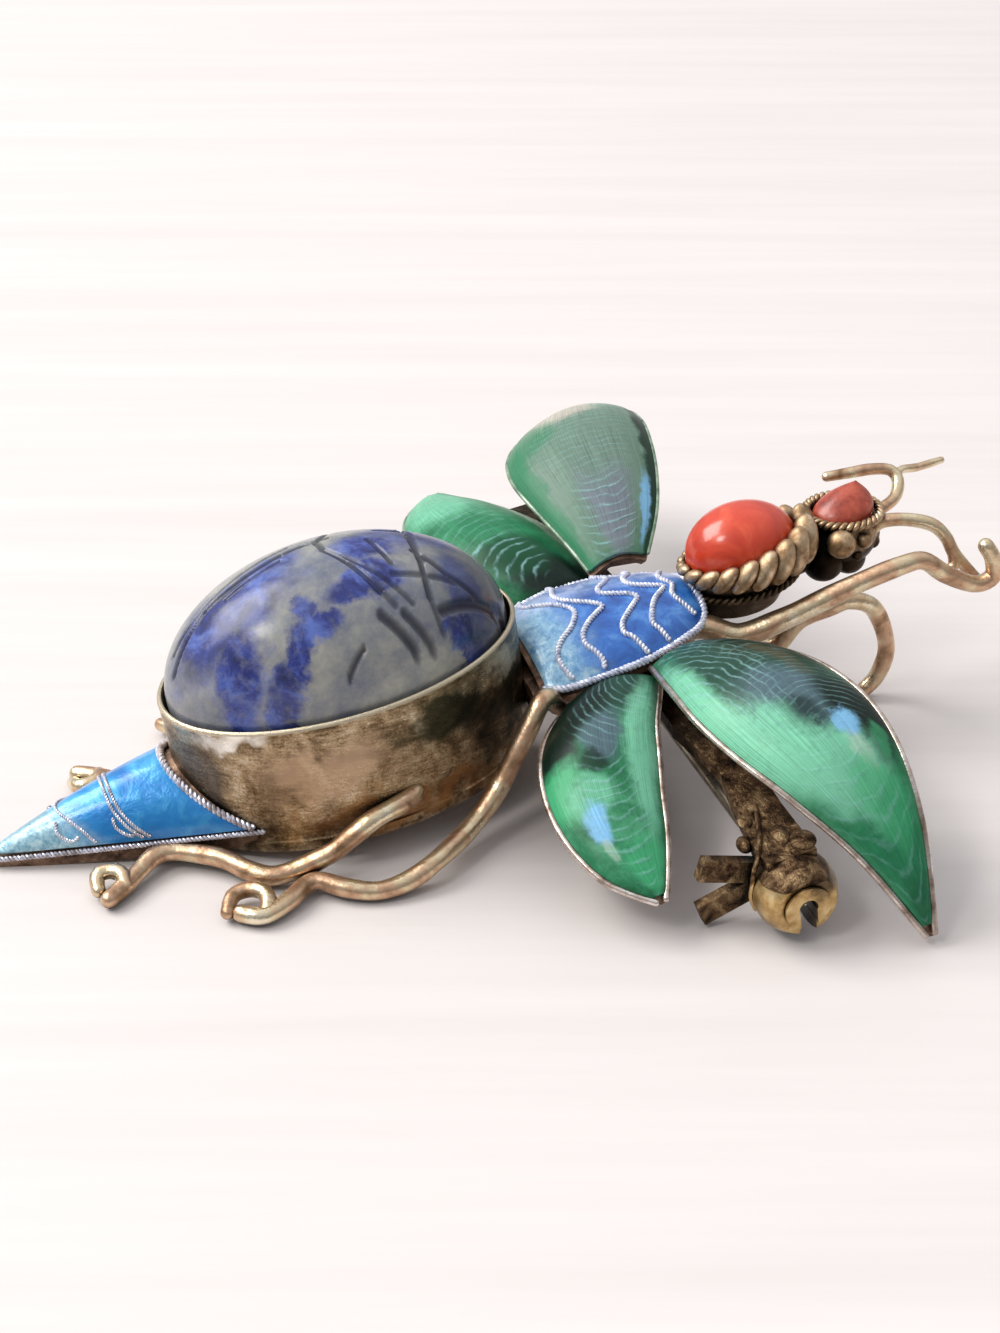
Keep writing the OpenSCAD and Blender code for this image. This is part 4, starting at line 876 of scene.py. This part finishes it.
for side in (-1, 1):
    eye_y = side * (head_r + 0.3) - 0.1 * (1 + side)
    beads += [ball((head_x - 0.9, eye_y, head_z + 0.62 - 0.16 * side), eye_r - 0.05 * side),
              ball((head_x + 1.5, side * 0.8, head_z - 0.5), 0.43),
              ball((head_x + 0.6, side * (head_r + 0.05), head_z + 0.35), 0.42),
              ball((head_x + 0.2, side * (head_r - 0.1), head_z - 0.55), 0.30)]
head_rope = rope(np.array(head_coral_at) - [0, 0, 0.02], head_coral_a + 0.03, head_coral_b + 0.03, 0.26, 17,
                 head_coral_tip)
piece("head_metal", head_lumps + [neck, foot] + beads + head_rope, gold)

# Wings
# Four leaf shaped trays of thin gilt silver, arched, each with a wire edge. Clear green enamel
# lies over nested shell arcs engraved in the sheet; the backs are bare and brown.

# Wing rows: share of span, then leading edge, trailing edge and height as shares of chord and drop
FOREWING = smooth_through([(0, 0.21, -0.21, 0), (0.15, 0.44, -0.26, 0.14), (0.3, 0.59, -0.29, 0.23),
                           (0.45, 0.69, -0.29, 0.26), (0.6, 0.76, -0.2, 0.19), (0.75, 0.77, 0, 0),
                           (0.88, 0.74, 0.29, -0.41), (1, 0.65, 0.57, -1)], 6)
HINDWING = smooth_through([(0, 0.32, -0.3, 0), (0.15, 0.21, -0.55, 0.03), (0.3, 0.09, -0.71, 0),
                           (0.45, 0, -0.79, -0.14), (0.6, -0.09, -0.81, -0.33), (0.75, -0.17, -0.77, -0.55),
                           (0.88, -0.26, -0.66, -0.79), (1, -0.36, -0.44, -1)], 6)
wing_chord = 8.0
wing_camber = 0.2


def wing_surface(rows, root, span, drop, lift, grows, side, fuller):
    """The top of a wing's sheet: side is -1 for the insect's right, lift bends it up by degrees."""
    def at(s, t, edge=0.0):
        belly = np.sin(math.pi * s) ** 2
        lead, trail, high = (np.interp(s, rows[:, 0], rows[:, k]) for k in (1, 2, 3))
        lead = wing_chord * (lead + fuller[0] * belly)
        trail = wing_chord * (trail - fuller[1] * belly)
        half = (lead - trail) / 2
        v = t * np.maximum(0.12, 1 - edge / half)
        y = s * span
        z = drop * high + wing_camber * 2 * half * (1 - v * v)
        angle = np.radians(lift) * (s * s if grows else 1.0)
        out, up = y * np.cos(angle) - z * np.sin(angle), y * np.sin(angle) + z * np.cos(angle)
        return np.stack([root[0] + (lead + trail) / 2 + half * v, side * (root[1] + out), root[2] + up], -1)
    return at


def wing_finish(name, reach, width, blots, shells):
    """Green enamel with patches of colour, painted highlight and shade, over nested shell arcs engraved in
    the sheet.
    """
    green = Finish(name, Roughness=0.40, IOR=1.38, Specular_IOR_Level=0.3, Coat_Weight=0.06,
                   Coat_Roughness=0.2)
    at, where = green.place(), green.spot()
    shade = green.ramp(green.cloud(at, 2.0, 5.0, 0.65, 0.5), (0.3, (24, 92, 58)), (0.5, (46, 124, 84)),
                       (0.7, (84, 164, 122)))
    shade = green.patches(shade, green.drifted(where, at, 0.5, 5.0, 0.65, (0.16, 0.42, 0.0)), blots, 0.38)
    wander = green.cloud(at, 1.4, 3.0, 0.5)
    lines = 0.0
    for x0, y0, stretch, gap, from_x, from_y, long, wide, strength in shells:
        local = green.add("Mapping", {0: where, 1: (x0, y0, 0), 3: (gap * stretch / reach, gap / width, 1e6)},
                          vector_type="TEXTURE")
        far = green.length(local)
        wave = green.calc("PINGPONG", green.calc("MULTIPLY_ADD", wander, 1.6, far), 0.5)
        seen = green.calc("MULTIPLY", green.blot(where, from_x, from_y, long, wide, 0, 0.3), strength)
        seen = green.calc("MULTIPLY", seen, green.step(far, 1.6, 3.2))
        lines = green.calc("MAXIMUM", lines, green.calc("MULTIPLY", green.step(wave, 0.28, 0.5), seen))
    lines = green.calc("MULTIPLY", lines, green.step(green.cloud(at, 0.9, 3.0, 0.6), 0.36, 0.62, 0.2, 1.0))
    shade = green.blend(shade, (150, 200, 200), green.calc("MULTIPLY", lines, 0.8))
    brush = green.cloud(green.add("Mapping", {0: where, 3: (4.0, 90.0, 1.0)}), 1.0, 3.0, 0.6)
    shade = green.blend(shade, (18, 52, 38), green.step(brush, 0.60, 0.36, 0.0, 0.35))
    speck = green.cloud(at, 0.5, 5.0, 0.7)
    green.feed("Base Color", green.blend(shade, (16, 58, 40), green.step(speck, 0.52, 0.30, 0.0, 0.16)))
    green.feed("Normal", green.relief(lines, 0.04))
    return green


dark = (3, 18, 12)
deep_green = (14, 66, 40)
teal_dark = (30, 62, 52)
olive = (78, 74, 52)
grey_blue = (84, 104, 116)
grey_green = (112, 138, 122)
highlight_blue = (132, 190, 230)
mint = (130, 208, 172)
pale = (190, 214, 198)
mid_green = (40, 128, 86)
bright = (72, 178, 122)
cream = (196, 186, 172)
lilac_grey = (122, 128, 140)

# Patches of each wing: colour, along, across, half length, half width, strength. Most are the
# enamel's own colours; the light blue patches, and the small pale ones beside them on the near
# wings, are painted highlights, and the two dark patches on the near hindwing's trailing side
# are painted shadow and dark reflection of the bezel.
RIGHT_FORE = [(mid_green, 0.9, 0.0, 0.14, 1.1, 0.7), (teal_dark, 0.26, 0.2, 0.36, 1.1, 0.95),
              (dark, 0.16, 0.62, 0.22, 0.5, 0.8), (olive, 0.36, 0.42, 0.13, 0.16, 0.7),
              (grey_blue, 0.54, -0.02, 0.13, 0.5, 0.9), (dark, 0.62, 0.66, 0.13, 0.42, 1.0),
              (dark, 0.61, -0.1, 0.05, 0.24, 0.75), (mint, 0.44, -0.9, 0.24, 0.28, 0.9),
              (mint, 0.66, -0.62, 0.14, 0.46, 0.9), (mint, 0.75, -0.1, 0.09, 0.7, 0.85),
              (bright, 0.7, 0.74, 0.04, 0.12, 0.5), (highlight_blue, 0.665, 0.34, 0.04, 0.17, 1.0),
              (pale, 0.735, 0.34, 0.04, 0.14, 0.5), (bright, 0.82, 0.3, 0.07, 0.5, 0.6),
              (deep_green, 0.97, 0.2, 0.05, 0.8, 0.5)]
RIGHT_HIND = [(teal_dark, 0.12, 0.1, 0.18, 1.0, 0.95), (dark, 0.32, -0.86, 0.14, 0.56, 1.0),
              (dark, 0.18, -0.6, 0.17, 0.7, 1.0), (grey_blue, 0.36, 0.08, 0.1, 0.34, 0.95),
              (dark, 0.46, -0.14, 0.05, 0.26, 0.8), (mint, 0.44, 0.72, 0.34, 0.26, 0.9),
              (bright, 0.52, -0.8, 0.12, 0.34, 0.9), (mint, 0.6, -0.3, 0.08, 0.4, 0.6),
              (highlight_blue, 0.7, -0.38, 0.085, 0.22, 1.0), (pale, 0.8, -0.42, 0.04, 0.12, 0.5),
              (bright, 0.88, 0.3, 0.08, 0.7, 0.7)]
LEFT_FORE = [(grey_green, 0.5, 0.0, 0.6, 1.2, 0.95), (mid_green, 0.32, -0.9, 0.34, 0.16, 0.8),
             (deep_green, 0.3, 0.97, 0.42, 0.14, 1.0), (lilac_grey, 0.22, 0.1, 0.22, 0.42, 0.9),
             (grey_green, 0.46, 0.1, 0.2, 0.6, 0.9), (pale, 0.9, 0.0, 0.22, 1.2, 0.9),
             (cream, 0.68, -0.2, 0.09, 0.5, 0.85), (mid_green, 0.56, -0.6, 0.1, 0.3, 0.6),
             (highlight_blue, 0.16, 0.78, 0.11, 0.1, 0.9), (dark, 0.44, 0.97, 0.3, 0.12, 0.6)]
LEFT_HIND = [(mid_green, 0.45, 0.2, 0.4, 0.9, 0.6), (mint, 0.82, -0.2, 0.22, 0.8, 0.7),
             (dark, 0.06, 0.1, 0.14, 0.8, 1.0), (deep_green, 0.24, 0.0, 0.12, 0.6, 0.9),
             (pale, 0.6, 0.88, 0.3, 0.12, 0.5)]

# Shell arcs: middle along and across, stretch along, gap in mm, then the oval they show in and how strongly
RIGHT_FORE_ARCS = [(0.52, -1.05, 2.4, 0.34, 0.3, -0.4, 0.3, 0.6, 0.6),
                   (0.74, 0.3, 1.2, 0.32, 0.5, 0.3, 0.16, 0.55, 0.35),
                   (0.56, -0.1, 1.3, 0.46, 0.86, -0.1, 0.18, 0.9, 0.3),
                   (0.5, 0.3, 2.2, 0.36, 0.16, 0.4, 0.2, 0.7, 0.3)]
RIGHT_HIND_ARCS = [(0.36, 0.02, 1.2, 0.42, 0.7, 0.02, 0.3, 0.62, 0.45),
                   (-0.1, 0.9, 1.4, 0.3, 0.22, 0.2, 0.18, 0.7, 0.5)]
LEFT_FORE_ARCS = [(0.34, 0.02, 1.3, 0.38, 0.1, 0.0, 0.2, 0.55, 0.7),
                  (0.98, -0.05, 1.0, 0.46, 0.5, 0.0, 0.25, 0.7, 0.3)]
LEFT_HIND_ARCS = [(-0.06, 0.2, 1.3, 0.42, 0.24, -0.2, 0.14, 0.5, 0.8),
                  (0.1, 0.3, 1.2, 0.5, 0.66, 0.0, 0.3, 0.8, 0.3)]

edge_gilt = Finish("edge_gilt", Metallic=0.95)
edge_gilt.worn(edge_gilt.cloud(edge_gilt.place(), 0.9, 4.0, 0.6),
               ((0.3, (122, 104, 92)), (0.48, (188, 172, 160)), (0.66, (226, 216, 208))),
               rough=(0.42, 0.22), grain=(0.4, 3.0, 0.6, 0.03))
edge_green = Finish("edge_green", Metallic=0.4)
edge_green.worn(edge_green.cloud(edge_green.place(), 1.1, 4.0, 0.6),
                ((0.34, (84, 112, 92)), (0.5, (134, 158, 134)), (0.66, (176, 192, 172))), rough=(0.5, 0.3))

fore_x, fore_y, fore_z = thorax_end - 2.75, thorax_w - 0.6, thorax_edge_z - 0.6
hind_x, hind_y, hind_z = thorax_end - 6.45, thorax_w - 0.2, thorax_edge_z - 1.1
forewing_span, hindwing_span = 18.0, 12.7
forewing_drop, hindwing_drop = 7.1, 3.3
forewing = FOREWING, forewing_span, forewing_drop, True
hindwing = HINDWING, hindwing_span, hindwing_drop, False

# Each wing: its shape, root, lift in degrees, side, how much fuller than its rows, colours and arcs
WINGS = {
    "right_forewing": (forewing, (fore_x, fore_y, fore_z), 0, -1, (0, 0), RIGHT_FORE, RIGHT_FORE_ARCS),
    "right_hindwing": (hindwing, (hind_x, hind_y, hind_z), 0, -1, (0, 0), RIGHT_HIND, RIGHT_HIND_ARCS),
    "left_forewing": (forewing, (fore_x, fore_y + 0.25, fore_z + 1.1), 8, 1, (0, 0.09), LEFT_FORE,
                      LEFT_FORE_ARCS),
    "left_hindwing": (hindwing, (hind_x + 0.7, hind_y + 0.35, hind_z + 0.3), 17, 1, (0.12, 0), LEFT_HIND,
                      LEFT_HIND_ARCS)}
for name, ((rows, span, drop, grows), root, lift, side, fuller, blots, shells) in WINGS.items():
    at = wing_surface(rows, root, span, drop, lift, grows, side, fuller)
    first = (thorax_w + 0.2 - root[1]) / span if side < 0 else 0.012
    last = 0.985 if grows else 0.98
    edge_r = 0.18 if side < 0 else 0.13
    piece(name + "_sheet", [slab(at, np.linspace(0.0, 1, 80), 0.05, -0.45, 0.0, 41)], brown)
    s = np.linspace(0.02, 0.995, 60)
    edges = [wire(above(at, s, t + 0 * s, 0.16, 0.18), edge_r, 14) for t in (-1, 1)]
    piece(name + "_edge", edges, edge_gilt if side < 0 else edge_green)
    green = wing_finish(name + "_enamel", span, 0.36 * wing_chord, blots, shells)
    piece(name + "_glass", [slab(at, np.linspace(first, last, 130), edge_r + 0.12, 0.03, 0.36, 61, 0.1)],
          green, [name + "_enamel"])

# Legs and feelers
# Soft drawn wire of pale gilt silver, bent by hand and soldered to bezel, block and head, with
# hooked toes. It is bright on top, pinkish copper in places and dark in the bends.
leg_r = 0.53
feeler_r = 0.38
toe_r = 0.8 * leg_r
front_leg, middle_leg, rear_leg, feeler = 16.0, 20.0, 18.0, 8.0
left_forward = 0.7

# Routes of the wires from where each is soldered, in hundredths of its length
FRONT_LEG = [(-7, 3, 0), (0, 0, 0), (10, -5, -4), (24, -8, -1), (37, -9, 2), (51, -11, 6), (66, -13, 9),
             (74, -13, 8), (81, -14, 1), (92, -14, -7), (99, -14, -6), (99, -14, 1), (97, -13, 6)]
BENT_LEG = [(-6, 2, 2), (5, 0, -3), (16, -6, -13), (25, -10, -20), (33, -14, -21), (42, -16, -12),
            (53, -18, -9), (60, -18, -9), (68, -18, -14), (72, -18, -24), (73, -18, -35), (69, -18, -44),
            (64, -18, -48)]
MIDDLE_LEG = [(5, 5, -7), (0, 0, 0), (-8, -4, -7), (-18, -8, -17), (-28, -13, -22), (-40, -21, -22),
              (-48, -23, -23.5), (-56, -23, -23.5), (-63, -20, -22), (-69, -15.5, -20.5), (-73, -16, -20.5),
              (-78, -20, -20), (-85, -23, -19.5), (-90, -20, -19)]
MIDDLE_TOE = [(-84, -22.5, -19.5), (-82.5, -18.5, -18.5), (-83.5, -15, -18), (-87, -13, -18),
              (-90.5, -14, -18), (-93, -18.5, -18.5)]
REAR_LEG = [(4, 3, 0), (0, 0, 0), (-10, -2, -1), (-18, -3, -4), (-24, -4, -6), (-33, -3, -8.5),
            (-41, -2, -9), (-46.5, 2, -8), (-52, 9, -6.5), (-58, 13.5, -5.5), (-65, 17, -4.5),
            (-70, 16.5, -4), (-75, 13, -4.5), (-80, 8.5, -4.3), (-85.5, 4.5, -4)]
REAR_TOE = [(-80, 8, -4), (-80, 11.5, -2.5), (-83, 14, -2), (-86.5, 13.5, -2), (-87.5, 9, -3.5)]
RIGHT_FEELER = [(-8, 3, -7), (0, 0, 0), (15, -6, 0), (31, -12, -6), (39, -17, -16), (43, -22, -29),
                (54, -30, -47)]
RIGHT_FORK = [(42, -21, -26), (40, -25, -35), (31, -27, -38)]
LEFT_FEELER = [(-8, -3, -7), (8, -2, -3), (23, 5, -2), (31, 15, 3), (29, 22, 9), (16, 25, 12.5),
               (2, 27.5, 13), (-15, 30, 14)]
LEFT_FORK = [(31, 18, 5), (38, 23, 6), (51, 26, 2), (72, 30, -1)]
front_leg_at = (thorax_end - 0.45, -2.2, thorax_edge_z - 0.25)
bent_leg_at = (thorax_end - 1.25, 1.6, thorax_edge_z - 0.8)
middle_leg_at = (bezel_a - 0.35, -4.8, thorax_edge_z + 0.4)
rear_leg_at = (0.7, -bezel_b - 0.3, 1.7)
right_feeler_at = (head_x + head_r + 0.35, -0.8, head_z + 0.5)
left_feeler_at = (right_feeler_at[0], -right_feeler_at[1], right_feeler_at[2])

pale_gilt = Finish("pale_gilt", Metallic=0.95)
pale_gilt.worn(pale_gilt.cloud(pale_gilt.place(), 1.8, 4.0, 0.6, 0.4),
               ((0.30, (140, 112, 82)), (0.44, (204, 166, 136)), (0.56, (222, 202, 166)),
                (0.72, (240, 228, 202))),
               (48, 34, 22), (0.8, 0.15, 0.75), (0.42, 0.24), (0.5, 3.0, 0.6, 0.05))


def bent_wire(at, length, route, radius, mirrored=False, thick_root=0.0):
    """Hand bent wire along a route, a little uneven, thicker at its root and thinner at its tip."""
    path = even_steps(np.array(at) + length / 100 * smooth_through(route, 8), 0.25)
    if mirrored:
        path = path * [1, -1, 1] + [left_forward, 0, 0]
    gone = np.linspace(0, 1, len(path))
    swell = 1 + 0.03 * np.sin(9 * gone * length / 4) + thick_root * np.clip(1 - gone / 0.6, 0, 1)
    return wire(path, radius * swell * (1 - 0.15 * gone ** 3), 16)


legs = [bent_wire(front_leg_at, front_leg, FRONT_LEG, leg_r, thick_root=0.3),
        bent_wire(bent_leg_at, front_leg, BENT_LEG, leg_r)]
for mirrored in (False, True):
    legs += [bent_wire(middle_leg_at, middle_leg, MIDDLE_LEG, leg_r, mirrored),
             bent_wire(middle_leg_at, middle_leg, MIDDLE_TOE, toe_r, mirrored),
             bent_wire(rear_leg_at, rear_leg, REAR_LEG, leg_r, mirrored),
             bent_wire(rear_leg_at, rear_leg, REAR_TOE, toe_r, mirrored)]
piece("legs", legs, pale_gilt)
piece("feelers", [bent_wire(right_feeler_at, feeler, RIGHT_FEELER, feeler_r),
                  bent_wire(right_feeler_at, feeler, RIGHT_FORK, 0.85 * feeler_r),
                  bent_wire(left_feeler_at, feeler, LEFT_FEELER, 0.9 * feeler_r),
                  bent_wire(left_feeler_at, feeler, LEFT_FORK, 0.62 * feeler_r)], pale_gilt)

# Pin, hinge and catch
# A cranked bar under the block carries the hinge lugs and a round catch with a turning barrel.
# The bar is rough and brown, the ball is polished, and the steel coloured pin swings on its rivet.
ball_y = -18.5
ball_r = 2.1
heel_top = -0.05
rough_bar = Finish("rough_bar", Metallic=0.85)
at = rough_bar.place()
near_ball = rough_bar.distance(at, laid((hinge_level[0], ball_y, hinge_level[2])) * 1000)
forward, aside, upward = rough_bar.parts(at)
height = rough_bar.calc("MULTIPLY_ADD", forward, -math.tan(pitch), upward)
heel_low = level_height((hinge_level[0], ball_y, heel_top))
on_ball = rough_bar.calc("MULTIPLY", rough_bar.step(near_ball, ball_r + 0.25, ball_r + 0.1),
                         rough_bar.step(height, heel_low, heel_low - 0.08))
soot = rough_bar.cloud(at, 0.9, 5.0, 0.7, 0.6)
shade = rough_bar.ramp(soot, (0.34, (30, 20, 12)), (0.46, (82, 60, 40)), (0.58, (134, 108, 78)),
                       (0.72, (192, 170, 130)))
# Painted shade, near black, on the bar's part near the block, under the wing roots
shade = rough_bar.blend(shade, (20, 14, 10), rough_bar.step(aside, -11.5, -8.0, 0.0, 0.85))
ball_shade = rough_bar.ramp(rough_bar.cloud(at, 1.1, 4.0, 0.6), (0.32, (132, 102, 62)),
                            (0.5, (188, 156, 104)), (0.68, (222, 198, 150)))
# Painted shadow on the top of the ball, under the bar's heel
heel_shadow_at = laid((17.3, -19.4, -0.2)) * 1000
heel_shadow = rough_bar.calc("ADD", rough_bar.distance(at, heel_shadow_at), rough_bar.calc("MULTIPLY", soot, 1.2))
ball_shade = rough_bar.blend(ball_shade, (62, 52, 40), rough_bar.step(heel_shadow, 1.9, 1.2, 0.0, 0.85))
shade = rough_bar.blend(shade, ball_shade, on_ball)
# Near black within 1.6 mm of other metal: painted shade inside the barrel's keyhole and in the bar's narrow
# places
rough_bar.feed("Base Color", rough_bar.blend((10, 8, 6), shade, rough_bar.crevice(1.6, 0.30, 0.78, 8)))
rough_bar.feed("Roughness", rough_bar.step(on_ball, 0.0, 1.0, 0.5, 0.28))
lumps = rough_bar.calc("MULTIPLY", rough_bar.cloud(at, 0.9, 5.0, 0.7),
                       rough_bar.step(on_ball, 1.0, 0.0, 0.15, 1.0))
rough_bar.feed("Normal", rough_bar.relief(lumps, 0.35))

# A bright edge bent round the ball, and lumps of solder where the bar meets it
flange = smooth_through([(16.35, -14.2, 0.84), (15.75, -15.9, 0.84), (15.0, -17.5, 0.82), (14.5, -18.0, 0.3),
                         (14.34, -18.0, -0.55), (14.22, -18.0, -1.3), (14.4, -18.0, -2.1)], 10)
solder = [ball((14.8, -16.2, 0.46), 0.38, 20, 11, (1.0, 1.4, 1.0)),
          ball((15.4, -15.0, 0.8), 0.3, 18, 9, (1.2, 1.8, 0.6)),
          ball((17.3, -17.6, 0.82), 0.5, 20, 11, (1.3, 1.5, 0.5)),
          ball((16.5, -16.7, 0.8), 0.45, 20, 11, (1.0, 1.7, 0.5))]
piece("catch_flange", [wire(flange, 0.13)] + solder, rough_bar, nodes=())

steel = Finish("pin_steel", Metallic=0.95)
# Darker within 1.2 mm of other metal: painted shade on the pin where it lies inside the barrel
steel.worn(steel.cloud(steel.place(), 1.2, 4.0, 0.6), ((0.3, (120, 108, 92)), (0.6, (198, 190, 172))),
           (12, 10, 8), (1.2, 0.1, 0.5, 8), (0.4, 0.22))

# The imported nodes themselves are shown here, each in its finish
for name, finish in (("pin_bar", rough_bar), ("catch_lever", rough_bar), ("hinge_rivet", gold),
                     ("pin_stem", steel)):
    shown = frame["nodes"][name].data.materials
    shown.clear()
    shown.append(finish.material)
